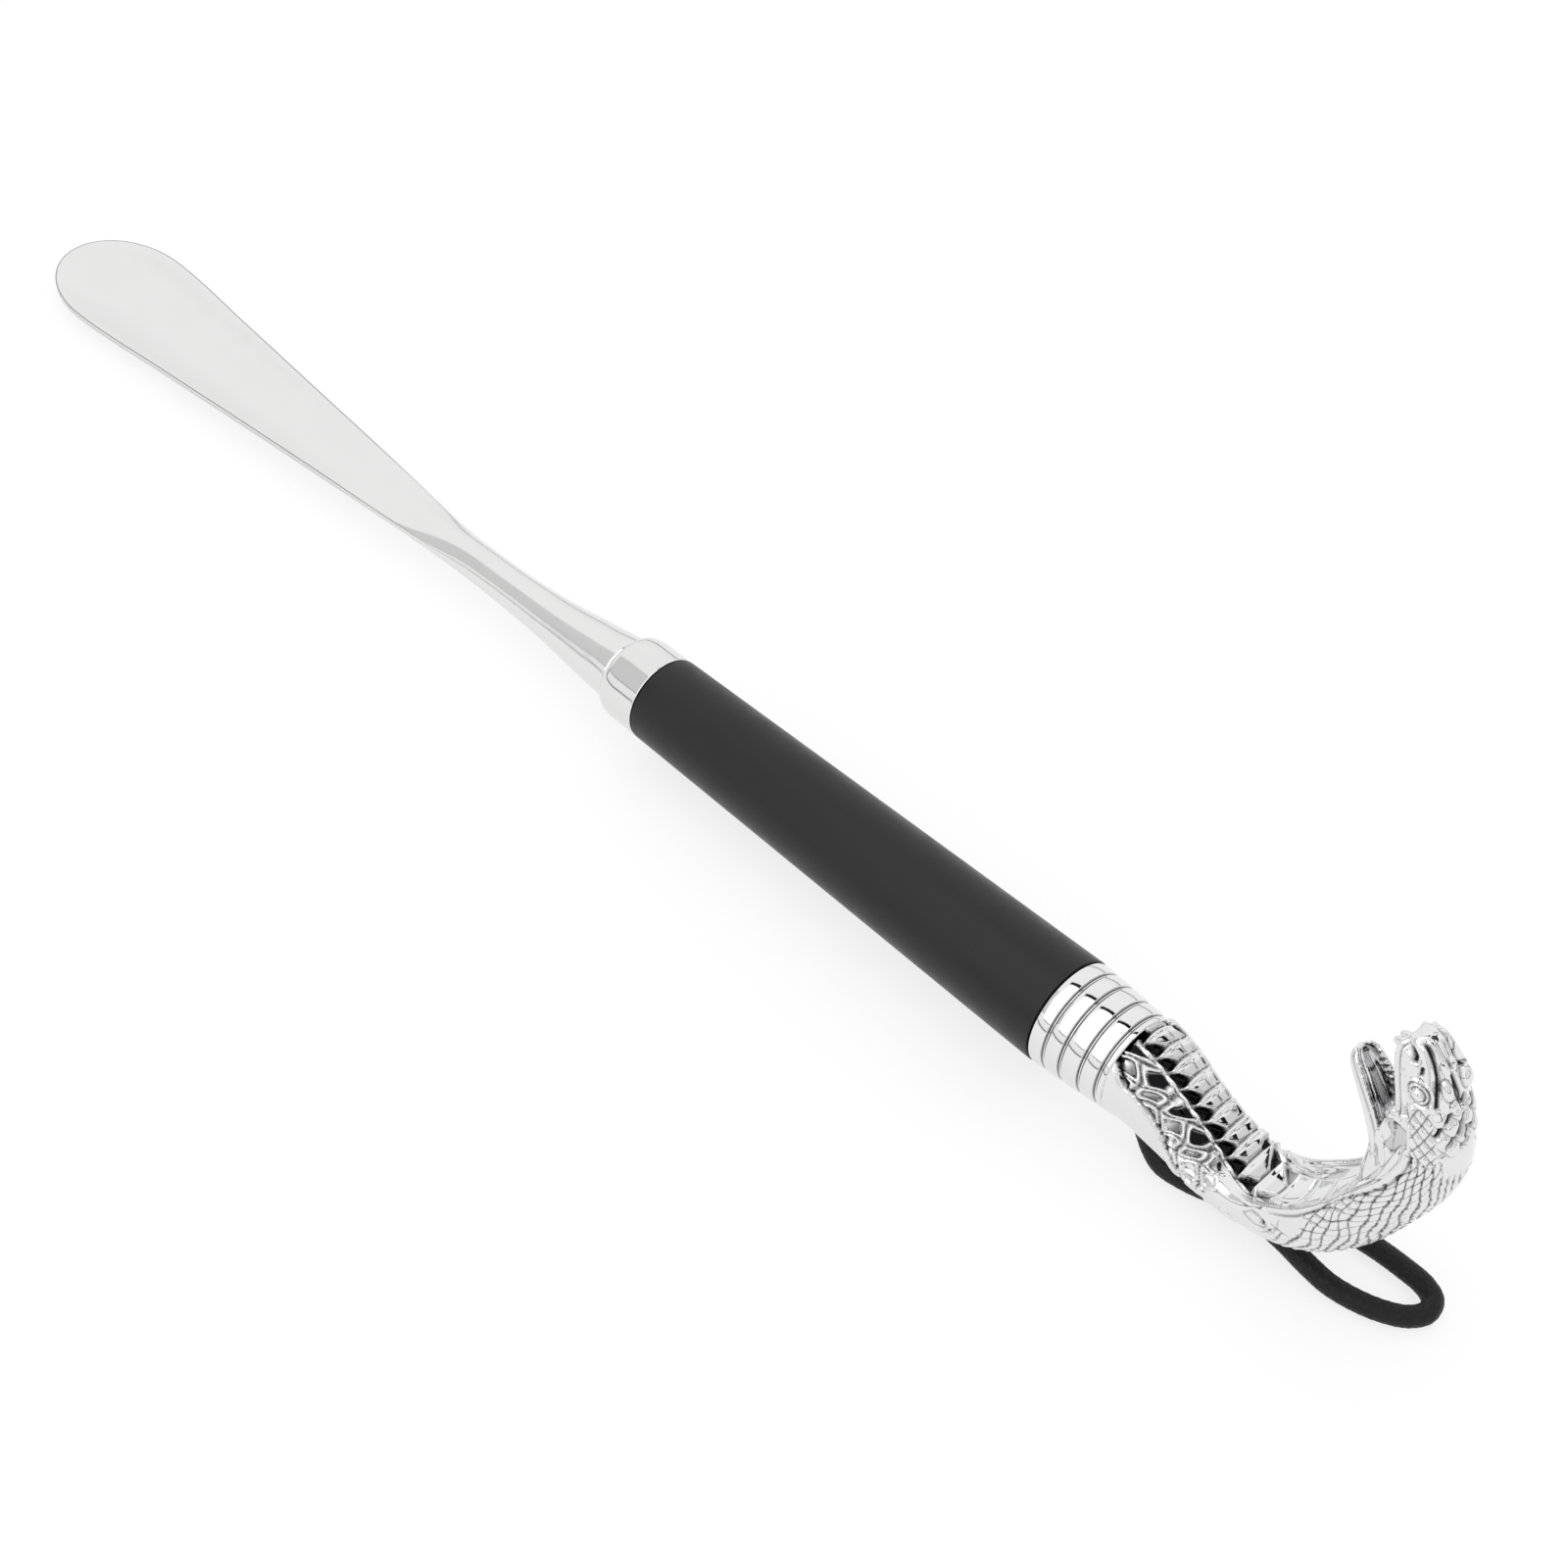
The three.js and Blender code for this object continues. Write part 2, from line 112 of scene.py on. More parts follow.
# ---- materials


class Nodes:
    """Short names for building a node tree."""

    def __init__(self, owner):
        owner.use_nodes = True
        self.tree = owner.node_tree

    def add(self, kind, inputs=(), **settings):
        node = self.tree.nodes.new(kind)
        for key, value in settings.items():
            setattr(node, key, value)
        for key, value in dict(inputs).items():
            if isinstance(value, bpy.types.NodeSocket):
                self.tree.links.new(value, node.inputs[key])
            else:
                node.inputs[key].default_value = value
        return node


class Finish(Nodes):
    """A material, made from its main shader's plain values and what is then linked to it."""

    def __init__(self, name, **values):
        self.material = bpy.data.materials.new(name)
        super().__init__(self.material)
        self.shader = self.tree.nodes["Principled BSDF"]
        self.place = self.add("ShaderNodeTexCoord").outputs["Object"]
        for key, value in values.items():
            self.shader.inputs[key.replace("_", " ")].default_value = value

    def stretched(self, scale):
        return self.add("ShaderNodeMapping", {"Vector": self.place, "Scale": scale}).outputs[0]

    def noise(self, scale, detail, roughness=0.5, where=None):
        sockets = {"Scale": scale, "Detail": detail, "Roughness": roughness}
        sockets["Vector"] = self.place if where is None else where
        return self.add("ShaderNodeTexNoise", sockets).outputs["Fac"]

    def mix(self, factor, first, second):
        """One colour or the other, by a factor socket."""
        start = first if isinstance(first, bpy.types.NodeSocket) else (*first, 1)
        sockets = {"Factor": factor, 6: start, 7: (*second, 1)}
        return self.add("ShaderNodeMix", sockets, data_type="RGBA").outputs[2]

    def ranged(self, value, low, high, from_low=0.35, from_high=0.65):
        """A value between low and high, as the input goes between its own two limits."""
        sockets = {0: value, 1: from_low, 2: from_high, 3: low, 4: high}
        return self.add("ShaderNodeMapRange", sockets).outputs[0]

    def link(self, value, socket):
        self.tree.links.new(value, self.shader.inputs[socket])

    def colour(self, factor, first, second):
        self.link(self.mix(factor, first, second), "Base Color")

    def roughness(self, factor, smooth, dull):
        self.link(self.ranged(factor, smooth, dull), "Roughness")

    def bump(self, height, distance):
        sockets = {"Height": height, "Distance": distance * MM}
        self.link(self.add("ShaderNodeBump", sockets).outputs["Normal"], "Normal")


# Near-black colour of the painted shade in hollows and of the painted dark reflection lines.
PAINTED_SHADE_COLOUR = (0.012, 0.012, 0.013)


def metal(name, light, dark, smooth, dull, grain, ripple):
    """Plated metal, slightly cloudy, with a fine ripple in mm, mixed towards near-black by painted shade
    in the hollows.
    """
    nodes = Finish(name, Metallic=1.0)
    painted_shade = nodes.add("ShaderNodeAttribute", attribute_name="painted_shade").outputs["Fac"]
    plate = nodes.mix(nodes.noise(90, 4), light, dark)
    # Painted shade: the plating's colour is mixed towards near-black by the per-point painted shade
    # value.
    nodes.colour(nodes.ranged(painted_shade, 0, 1, 0.1, 0.9), plate, PAINTED_SHADE_COLOUR)
    nodes.roughness(nodes.noise(240, 5, 0.6), smooth, dull)
    nodes.bump(nodes.noise(1.0, 3, 0.55, where=nodes.stretched(grain)), ripple)
    return nodes.material


def black_lacquer():
    nodes = Finish("black_lacquer", Specular_IOR_Level=0.3)
    nodes.colour(nodes.noise(40, 4), (0.008, 0.008, 0.009), (0.012, 0.012, 0.013))
    nodes.roughness(nodes.noise(160, 5, 0.65), 0.36, 0.46)
    nodes.bump(nodes.noise(1.0, 5, 0.6, where=nodes.stretched((500, 1400, 1400))), 0.012)
    return nodes.material


def black_braid():
    nodes = Finish("black_braid", Specular_IOR_Level=0.25, Sheen_Weight=0.03, Sheen_Roughness=0.4)
    nodes.colour(nodes.noise(1500, 2), (0.003, 0.003, 0.0035), (0.011, 0.011, 0.012))
    nodes.roughness(nodes.noise(900, 3), 0.42, 0.62)
    nodes.bump(nodes.noise(2600, 2), 0.03)
    return nodes.material


# Light and dark of the plating, smooth and dull roughness, grain scale, and ripple in mm.
METALS = {
    "satin_nickel": ((0.76, 0.76, 0.757), (0.74, 0.74, 0.737), 0.13, 0.19, (60, 900, 900), 0.002),
    "polished_nickel": ((0.76, 0.76, 0.757), (0.72, 0.72, 0.717), 0.08, 0.12, (300, 300, 300), 0.001),
    "chrome": ((0.79, 0.79, 0.795), (0.75, 0.75, 0.755), 0.04, 0.09, (700, 700, 700), 0.004),
    "stud_steel": ((0.56, 0.57, 0.58), (0.45, 0.46, 0.47), 0.3, 0.4, (900, 900, 900), 0.01),
}
FINISHES = {name: metal(name, *values) for name, values in METALS.items()}
FINISHES["black_lacquer"] = black_lacquer()
FINISHES["black_braid"] = black_braid()

# ---- mesh helpers

# Points closer than this, in mm, become one.
MERGE_WITHIN = 0.002


def new_mesh(name, points, faces, merged=False, painted_shade=None):
    """A mesh whose faces all look outwards, with points that coincide merged when asked."""
    mesh = bpy.data.meshes.new(name)
    mesh.from_pydata(np.asarray(points).tolist(), [], [list(map(int, face)) for face in faces])
    # Stores the per-point painted shade that the metal finishes read.
    if painted_shade is not None:
        mesh.attributes.new("painted_shade", "FLOAT", "POINT").data.foreach_set("value", painted_shade)
    shape = bmesh.new()
    shape.from_mesh(mesh)
    if merged:
        bmesh.ops.remove_doubles(shape, verts=shape.verts, dist=MERGE_WITHIN * MM)
    bmesh.ops.recalc_face_normals(shape, faces=shape.faces)
    shape.to_mesh(mesh)
    shape.free()
    return mesh


def add_piece(name, points, faces, slot, replaced, painted_shade=None):
    """A smooth-shaded piece that stands for a CAD node; its per-point painted shade says how dark its
    hollows and edge lines are painted.
    """
    mesh = new_mesh(name, to_row(points), faces, True, painted_shade)
    mesh.shade_smooth()
    mesh.materials.append(FINISHES[slot])
    piece = new_object(name, mesh)
    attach(piece, "root")
    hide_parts(replaced)
    return piece


def tube_faces(rings, sides, closed_along=False):
    """Quads of a grid of points that closes around, and along too when asked."""
    ring = np.arange(rings if closed_along else rings - 1)[:, None]
    side = np.arange(sides)[None, :]
    here, there = ring * sides, ((ring + 1) % rings) * sides
    after = (side + 1) % sides
    corners = [here + side, here + after, there + after, there + side]
    return np.stack(np.broadcast_arrays(*corners), axis=-1).reshape(-1, 4)


def capped_faces(rings, sides):
    """Faces of a tube of rings with both of its ends closed."""
    last = (rings - 1) * sides
    ends = [list(range(sides))[::-1], [last + i for i in range(sides)]]
    return tube_faces(rings, sides).tolist() + ends


def circle(sides):
    return np.linspace(0, 2 * math.pi, sides, endpoint=False)


def rise(value, low, high):
    """Rises from 0 to 1 between two limits."""
    t = np.clip((value - low) / (high - low), 0, 1)
    return t * t * (3 - 2 * t)


def fall(value, low, high):
    """Falls from 1 to 0 between two limits."""
    return 1 - rise(value, low, high)


def bell(distance, width):
    return np.exp(-((distance / width) ** 2))


def station_curve(rows):
    """Smooth values between stations, level at both ends: rows of [position, value, ...]."""
    rows = np.asarray(rows, float)
    place, values = rows[:, 0], rows[:, 1:]
    slopes = np.diff(values, axis=0) / np.diff(place)[:, None]
    tangents = np.zeros_like(values)
    tangents[1:-1] = (slopes[1:] + slopes[:-1]) / 2

    def at(positions):
        after = np.clip(np.searchsorted(place, positions, side="right"), 1, len(place) - 1)
        before = after - 1
        span = (place[after] - place[before])[:, None]
        p = np.clip((positions - place[before])[:, None] / span, 0, 1)
        blend = p * p * (3 - 2 * p)
        swing = span * p * (1 - p) * ((1 - p) * tangents[before] - p * tangents[after])
        return (1 - blend) * values[before] + blend * values[after] + swing

    return at


# ---- turned pieces

CORNER_POINTS = 7


def softened(outline, step):
    """A closed outline of [x, radius, corner radius], its corners rounded and its sides divided."""
    soft = []
    for i, (x, r, corner) in enumerate(outline):
        here = np.array([x, r], float)
        sides = [np.array(outline[j % len(outline)][:2]) - here for j in (i - 1, i + 1)]
        start, end = (here + side * corner / np.linalg.norm(side) for side in sides)
        t = np.linspace(0, 1, CORNER_POINTS if corner else 1)[:, None]
        soft.append(list((1 - t) ** 2 * start + 2 * t * (1 - t) * here + t**2 * end))
    points = []
    for corner_points, following in zip(soft, soft[1:] + soft[:1]):
        start, end = corner_points[-1], following[0]
        pieces = max(1, math.ceil(np.linalg.norm(end - start) / step))
        points += [*corner_points, *(start + (end - start) * k / pieces for k in range(1, pieces))]
    return np.array(points)


def turned_points(profile, sides):
    """Rings about the X axis, one for each [x, radius] of the profile."""
    angle = circle(sides)
    x = np.repeat(profile[:, 0:1], sides, axis=1)
    y = profile[:, 1:2] * np.cos(angle)
    z = profile[:, 1:2] * np.sin(angle)
    return np.stack([x, y, z], axis=-1).reshape(-1, 3)


TURNED_SIDES = 128
COLLAR_SIDES = 160


def turned(name, profile, slot, node, sides=TURNED_SIDES, painted_shade=None):
    """A closed profile turned about the X axis."""
    points = turned_points(profile, sides)
    # Painted shade for each profile point, repeated round each ring.
    if painted_shade is not None:
        painted_shade = np.repeat(painted_shade, sides)
    return add_piece(name, points, tube_faces(len(profile), sides, True), slot, node, painted_shade=painted_shade)


GRIP_LENGTH = 133
GRIP_RADIUS_HEAD = 13.35
GRIP_RADIUS_BLADE = 11.2
GAP = 0.3
STUD_BORE = 3.3
FERRULE_LENGTH = 12.5
FERRULE_RADIUS = 11.25
FERRULE_BACK = -GRIP_LENGTH - GAP
FERRULE_FRONT = FERRULE_BACK - FERRULE_LENGTH
COLLAR_LENGTH = 20.4
COLLAR_BACK = GAP
COLLAR_RADIUS_BACK = 13.3
COLLAR_RADIUS_FRONT = 12.0


def make_grip():
    outline = [
        [-GRIP_LENGTH, STUD_BORE, 0],
        [-GRIP_LENGTH, GRIP_RADIUS_BLADE, 0.35],
        [0, GRIP_RADIUS_HEAD, 0.35],
        [0, STUD_BORE, 0],
    ]
    turned("grip_barrel", softened(outline, 2.0), "black_lacquer", "grip")


def make_ferrule():
    outline = [
        [FERRULE_FRONT, STUD_BORE, 0],
        [FERRULE_FRONT, FERRULE_RADIUS - 0.5, 2.1],
        [FERRULE_FRONT + 3.6, FERRULE_RADIUS, 1.2],
        [FERRULE_BACK, FERRULE_RADIUS, 0.25],
        [FERRULE_BACK, STUD_BORE, 0],
    ]
    turned("ferrule_ring", softened(outline, 0.5), "polished_nickel", "front_ferrule")


# The grooves between the collar's bands, measured from the grip's end.
COLLAR_GROOVES = [4.2, 8.8, 14.0, 18.6]
BAND_CROWN = 0.3
GROOVE_HALF = 0.55
GROOVE_DEPTH = 0.55
BEAD_HEIGHT = 0.34
COLLAR_EDGE = 0.3
COLLAR_STEP = 0.06


def collar_section(x):
    """Radius and painted shade: convex bands, and grooves with a thin bead along the bottom, the grooves
    painted dark as shade.
    """
    narrowing = COLLAR_RADIUS_BACK - COLLAR_RADIUS_FRONT
    taper = COLLAR_RADIUS_BACK - narrowing * (x / COLLAR_LENGTH) ** 1.5
    edges = np.array([-COLLAR_EDGE, *COLLAR_GROOVES, COLLAR_LENGTH + COLLAR_EDGE])
    band = np.searchsorted(edges, x) - 1
    along = (x - edges[band]) / (edges[band + 1] - edges[band])
    crown = BAND_CROWN * (1 - (2 * along - 1) ** 2)
    to_groove = np.abs(x[:, None] - np.array(COLLAR_GROOVES)).min(axis=1)
    groove = fall(to_groove, 0.55 * GROOVE_HALF, 1.1 * GROOVE_HALF)
    bead = fall(to_groove, 0.05, 0.32)
    radius = taper - BAND_CROWN + crown - GROOVE_DEPTH * groove + BEAD_HEIGHT * bead
    # Painted shade in the grooves, lighter over the bead.
    return radius, 0.9 * np.clip(groove - 1.3 * bead, 0, 1)


def make_collar():
    x = np.arange(COLLAR_EDGE, COLLAR_LENGTH - COLLAR_EDGE + COLLAR_STEP / 2, COLLAR_STEP)
    radius, painted_shade = collar_section(x)
    skin = np.stack([COLLAR_BACK + x, radius], axis=1)
    soft = 0.3 * COLLAR_EDGE
    start, end, front = radius[0], radius[-1], COLLAR_BACK + COLLAR_LENGTH
    back_face = [
        [COLLAR_BACK, STUD_BORE],
        [COLLAR_BACK, start - COLLAR_EDGE],
        [COLLAR_BACK + soft, start - soft],
    ]
    front_face = [[front - soft, end - soft], [front, end - COLLAR_EDGE], [front, STUD_BORE]]
    painted_shade = np.pad(painted_shade, 3)
    profile = np.vstack([back_face, skin, front_face])
    turned("collar_bands", profile, "chrome", "ring_collar", sides=COLLAR_SIDES, painted_shade=painted_shade)


# ---- blade

BLADE_ROOT = FERRULE_FRONT - GAP
BLADE_LENGTH = 238.3
BLADE_WIDEST = 213
EDGE_SIDE = 0.68
EDGE_ROUND = 0.32
# TOP_LINE places a painted dark reflection line in from the paddle's edge and TOP_LINE_SHADE sets how
# dark it is; TIP_SHADE is painted shade along the edge near the tip.
TOP_LINE = 0.26
TOP_LINE_SHADE = 0.75
# Down the edge's flat side: share of its height, groove depth, and the painted shade that stands for
# dark reflected lines.
SIDE_LINES = [(0.1, 0, 0), (0.4, 0, 0), (0.52, 0.12, 0.5), (0.64, 0, 0.1), (0.85, 0, 0.1)]
DISH_POWER = 1.3
TIP_SHADE = 0.35

# distance from the root: half width, rim height, dish depth, middle thickness
BLADE_STATIONS = [
    [0, 8.8, -0.2, 0, 17.6],
    [10, 8.1, -0.7, 0, 15.6],
    [28, 6.3, -1.6, 0, 11.4],
    [46, 5.4, -2.2, 0, 9.6],
    [60, 5.4, -2.4, 0, 8.6],
    [75, 6.2, -2.4, 0.6, 6.6],
    [92, 7.6, -2.1, 1.3, 4.6],
    [115, 9.4, -1.9, 2.1, 3.1],
    [145, 11.8, -1.8, 2.8, 2.3],
    [175, 14.3, -1.8, 3.4, 2.0],
    [BLADE_WIDEST, 17.1, -1.8, 4.0, 2.0],
]
BLADE_ACROSS = 44


def blade_grid():
    """Rows of points from the root to the tip, each going once around the section."""
    shank = np.arange(0, BLADE_WIDEST, 1.0)
    past = 1 - np.linspace(1, 0, 60) ** 2
    distance = np.concatenate([shank, BLADE_WIDEST + (BLADE_LENGTH - BLADE_WIDEST) * past])
    stations = station_curve(BLADE_STATIONS)(np.minimum(distance, BLADE_WIDEST))
    return distance, stations


def edge_distance(distance, y, half_width, slope):
    """How far inside the blade's outline a point lies."""
    tip = BLADE_LENGTH - BLADE_WIDEST
    p = np.clip((distance - BLADE_WIDEST) / tip, 0, 1)
    inside = 1 - (y / half_width) ** 2 - p**2
    steep = 2 * np.hypot(y / half_width**2, p / tip) + 1e-9
    straight = (half_width - np.abs(y)) / np.hypot(1, slope)
    return np.maximum(0, np.where(distance > BLADE_WIDEST, inside / steep, straight))


def top_line(inside):
    """The painted dark reflection line just inside the paddle's outline."""
    return np.clip(1 - np.abs(inside - TOP_LINE) / TOP_LINE, 0, 1)


def edge_side(above, below, flatness, distance):
    """Points of (y, z, painted shade) down the edge's flat side, which has one fine groove; the shade
    paints dark reflected lines.
    """
    places = []
    # Painted shade along the edge towards the tip, for the dark reflection of the shadow under it.
    dull = TIP_SHADE * rise(distance, BLADE_WIDEST, BLADE_LENGTH)
    for share, groove, shade in SIDE_LINES:
        place = above + share * (below - above)
        place[:, 0] -= np.sign(place[:, 0]) * np.minimum(groove * flatness, np.abs(place[:, 0]))
        place[:, 2] = flatness * np.maximum(shade, dull)
        places.append(place)
    return np.stack(places, axis=1)


def make_blade():
    """A shank that flattens into a dished paddle with a square, slightly rounded edge."""
    distance, stations = blade_grid()
    half_width, rim, dish, thick = np.split(stations, 4, axis=1)
    slope = np.gradient(half_width[:, 0], distance)[:, None]
    d = distance[:, None]
    past_widest = np.clip((d - BLADE_WIDEST) / (BLADE_LENGTH - BLADE_WIDEST), 0, 1)
    rounding = np.sqrt(1 - past_widest**2)
    half = 1 - (1 - np.linspace(0, 1, BLADE_ACROSS)) ** 2
    across = np.concatenate([-half[::-1], half[1:]])
    y = across * half_width * rounding
    camber = rim - dish * rounding**2 * (1 - across**2) ** DISH_POWER
    inside = edge_distance(d, y, half_width, slope)
    inset = np.minimum(inside / EDGE_ROUND, 1)
    edge = EDGE_SIDE + EDGE_ROUND * np.sqrt(np.clip(1 - (1 - inset) ** 2, 0, 1))
    oval = np.sqrt(np.clip(1 - across**2, 0, 1))
    flatness = rise(d, 50, 120)
    thin = thick / 2 + (1 - thick / 2) * rise(np.abs(across), 0.1, 1.0)
    height = (1 - flatness) * oval * thick / 2 + flatness * edge * thin
    # The top carries the painted reflection line; the underside carries none.
    top = np.stack([y, camber + height, TOP_LINE_SHADE * flatness * top_line(inside)], axis=-1)
    under = np.stack([y, camber - height, 0 * y], axis=-1)[:, ::-1]
    down = edge_side(top[:, -1], under[:, 0], flatness[:, 0], d[:, 0])
    up = edge_side(top[:, 0], under[:, -1], flatness[:, 0], d[:, 0])[:, ::-1]
    section = np.concatenate([top, down, under, up], axis=1)
    rows = np.dstack([BLADE_ROOT - d + 0 * section[..., 0], section])
    sides = rows.shape[1]
    points = np.vstack([rows.reshape(-1, 4), rows[0].mean(axis=0)])
    hub = len(points) - 1
    root_fan = [[hub, (i + 1) % sides, i] for i in range(sides)]
    faces = tube_faces(len(rows), sides).tolist() + root_fan
    add_piece("blade_casting", points[:, :3], faces, "satin_nickel", "blade", painted_shade=points[:, 3])


# ---- hanging cord

CORD_DIAMETER = 5.0
CORD_LIFT = 0.1
HOLE_END = np.array([24, -5.8])
HOLE_MOUTH = np.array([27.8, -13])
HOLE_SPACING = 7.2
DOWN_THE_HOLE = (0.4, 4.5, 8.6)
CORD_BEND = (30.8, -16.3)
CORD_SPLAY = 1.2

# Where the route lies on the surface, seen from above, from the near hole round to the far one.
CORD_ON_SURFACE = [
    [34.5, -5.2], [41, -4.4], [49, -1.9], [57, -0.4], [65, -0.6], [73, -1.6], [79, -1.9],
    [85.5, -0.7], [91.2, 1.5], [95.3, 4.3], [97.3, 7.8], [96.3, 11.2], [92.8, 12.8], [87, 13],
    [80, 12.6], [72, 11.4], [63, 9.4], [54, 7.4], [45, 5.7], [35, 4.4],
]


def surface_at(x):
    """Height of the surface in the grip's frame."""
    tilted = TO_ROW.to_3x3()
    return (-TO_ROW.translation.z / MM - x * tilted[2][0]) / tilted[2][2]


def cord_route():
    down = (HOLE_MOUTH - HOLE_END) / np.linalg.norm(HOLE_MOUTH - HOLE_END)

    def drop(y):
        places = [HOLE_END + down * distance for distance in DOWN_THE_HOLE]
        bend = [CORD_BEND[0], y * CORD_SPLAY, CORD_BEND[1]]
        return [[x, y, z] for x, z in places] + [bend]

    height = CORD_DIAMETER / 2 + CORD_LIFT
    lying = [[x, y, surface_at(x) + height] for x, y in CORD_ON_SURFACE]
    return np.array(drop(-HOLE_SPACING / 2) + lying + drop(HOLE_SPACING / 2)[::-1])


def through(points, per_span):
    """Centripetal Catmull-Rom curve through the points."""
    ends = [2 * points[0] - points[1], *points, 2 * points[-1] - points[-2]]
    curve = []
    for a, b, c, d in zip(ends, ends[1:], ends[2:], ends[3:]):
        t1 = np.linalg.norm(b - a) ** 0.5
        t2 = t1 + np.linalg.norm(c - b) ** 0.5
        t3 = t2 + np.linalg.norm(d - c) ** 0.5
        for t in np.linspace(t1, t2, per_span, endpoint=False):
            ab = a + (b - a) * t / t1
            bc = b + (c - b) * (t - t1) / (t2 - t1)
            cd = c + (d - c) * (t - t2) / (t3 - t2)
            abc = ab + (bc - ab) * t / t2
            bcd = bc + (cd - bc) * (t - t1) / (t3 - t1)
            curve.append(abc + (bcd - abc) * (t - t1) / (t2 - t1))
    return np.array([*curve, points[-1]])


def evenly(curve, step):
    """The same curve with points a step apart, and its length."""
    along = np.concatenate([[0], np.cumsum(np.linalg.norm(np.diff(curve, axis=0), axis=1))])
    count = int(round(along[-1] / step)) + 1
    places = np.linspace(0, along[-1], count)
    return np.stack([np.interp(places, along, curve[:, i]) for i in range(3)], axis=1), along[-1]


BRAID_STRANDS = 12
BRAID_PITCH = 2.4
BRAID_RELIEF = 0.22


def braid_height(around, along):
    """Two families of strands that pass over and under each other, from 0 to 1."""
    turns = BRAID_STRANDS * around / (2 * math.pi)
    right, left = turns + along / BRAID_PITCH, turns - along / BRAID_PITCH
    heights = []
    for own, other, flip in ((right, left, 1), (left, right, -1)):
        crown = np.sqrt(np.clip(1 - (2 * (own % 1) - 1) ** 2, 0, 1))
        parity = 1 - 2 * (np.floor(own) % 2)
        over = 0.5 + 0.5 * flip * parity * np.cos(math.pi * (other - 0.5))
        heights.append(crown * (0.45 + 0.55 * over))
    return np.maximum(*heights)


CORD_STEP = 0.3
CORD_SIDES = 84
POINTS_PER_SPAN = 24


def across_path(path):
    """Two directions square to the path at each of its points, carried along without a twist."""
    ahead = np.gradient(path, axis=0)
    ahead /= np.linalg.norm(ahead, axis=1)[:, None]
    side = np.array([0.0, 1.0, 0.0])
    sides = []
    for direction in ahead:
        side = side - direction * side.dot(direction)
        side /= np.linalg.norm(side)
        sides.append(side)
    return np.array(sides), np.cross(ahead, sides)


def make_cord():
    path, length = evenly(through(cord_route(), POINTS_PER_SPAN), CORD_STEP)
    sides, ups = across_path(path)
    around = circle(CORD_SIDES)[None, :]
    along = (np.arange(len(path)) * length / (len(path) - 1))[:, None]
    radius = CORD_DIAMETER / 2 - BRAID_RELIEF * (1 - braid_height(around, along))
    turned_side = np.cos(around)[..., None] * sides[:, None]
    turned_up = np.sin(around)[..., None] * ups[:, None]
    points = (path[:, None] + radius[..., None] * (turned_side + turned_up)).reshape(-1, 3)
    faces = capped_faces(len(path), CORD_SIDES)
    cord = add_piece("cord_braid", points, faces, "black_braid", "hanging_cord")


make_cord()
make_grip()
make_ferrule()
make_collar()
make_blade()

# ---- cobra casting

CASTING_BACK = 21.0

# Sections along the snake: centre x and z, lean of the spine in degrees, half width, height of
# the widest line, half width and height of the belly rims, height of the belly's middle, depth
# of the back. Heights are measured from the centre towards the belly.
BODY = [
    [CASTING_BACK, 0, 0, 11.6, 0, 8.2, 8.2, 11.6, 11.6],
    [27, -0.9, -12, 10.9, 0, 7.6, 7.4, 10.0, 10.5],
    [36, -4.5, -18, 10.1, 0, 7.4, 6.2, 8.2, 8.7],
    [46, -7.6, -12, 9.9, 0, 7.4, 4.6, 5.4, 7.6],
    [56, -7.8, 4, 10.3, 0, 7.8, 4.0, 2.8, 6.9],
    [66, -4.6, 24, 10.9, 0.5, 8.2, 5.6, 2.0, 7.0],
    [75, 2.3, 44, 11.2, 1.5, 8.8, 6.0, 3.0, 7.2],
    [82, 12, 58, 11.2, 2, 9.2, 5.8, 4.5, 7.2],
    [86.8, 22.5, 68, 10.9, 2, 9.4, 4.4, 5.5, 7.4],
    [90.8, 33, 75, 10.2, 2, 9.2, 4.0, 5.5, 7.8],
    [93.2, 43, 85, 9, 2, 8.4, 4.0, 4.0, 7.3],
    [93.6, 48, 94, 7, 1, 6, 3.4, 3.4, 5.6],
]
UPPER_HEAD = [
    [93.6, 41, 94, 8.0, 0, 7.0, 4.6, 4.6, 6.4],
    [92.8, 50, 100, 7.7, 0, 6.0, 5.4, 5.2, 6.1],
    [91, 57.5, 105, 6.9, 0, 5.3, 5.3, 4.6, 5.3],
    [88.5, 63.5, 110, 6.0, 0, 4.6, 4.8, 3.9, 4.6],
    [86, 68.4, 113, 4.7, 0, 3.4, 3.8, 3.0, 3.4],
    [84.9, 71, 115, 2.4, 0, 1.6, 1.8, 1.5, 1.8],
]
# The jaw's rims face the head, so its belly side is the trough of the mouth.
LOWER_JAW = [
    [84, 18, -85, 6.0, 0, 5.0, 3.5, 3.5, 4.0],
    [84, 28, -82, 6.0, 0, 5.0, 3.8, 3.2, 4.4],
    [83.2, 36.6, -72, 5.5, 0, 5.0, 2.6, 0.4, 3.2],
    [80.4, 43.5, -63, 4.9, 0, 4.4, 1.9, -1.0, 2.3],
    [76.8, 49.3, -59, 4.2, 0, 3.7, 1.4, -1.0, 2.0],
    [73.8, 53.4, -57, 3.4, 0, 2.9, 1.1, -0.7, 1.7],
    [72.7, 54.9, -55, 1.9, 0, 1.5, 0.6, 0, 1.3],
]
BACK_STEPS, SHOULDER_STEPS, BELLY_STEPS = 56, 22, 34


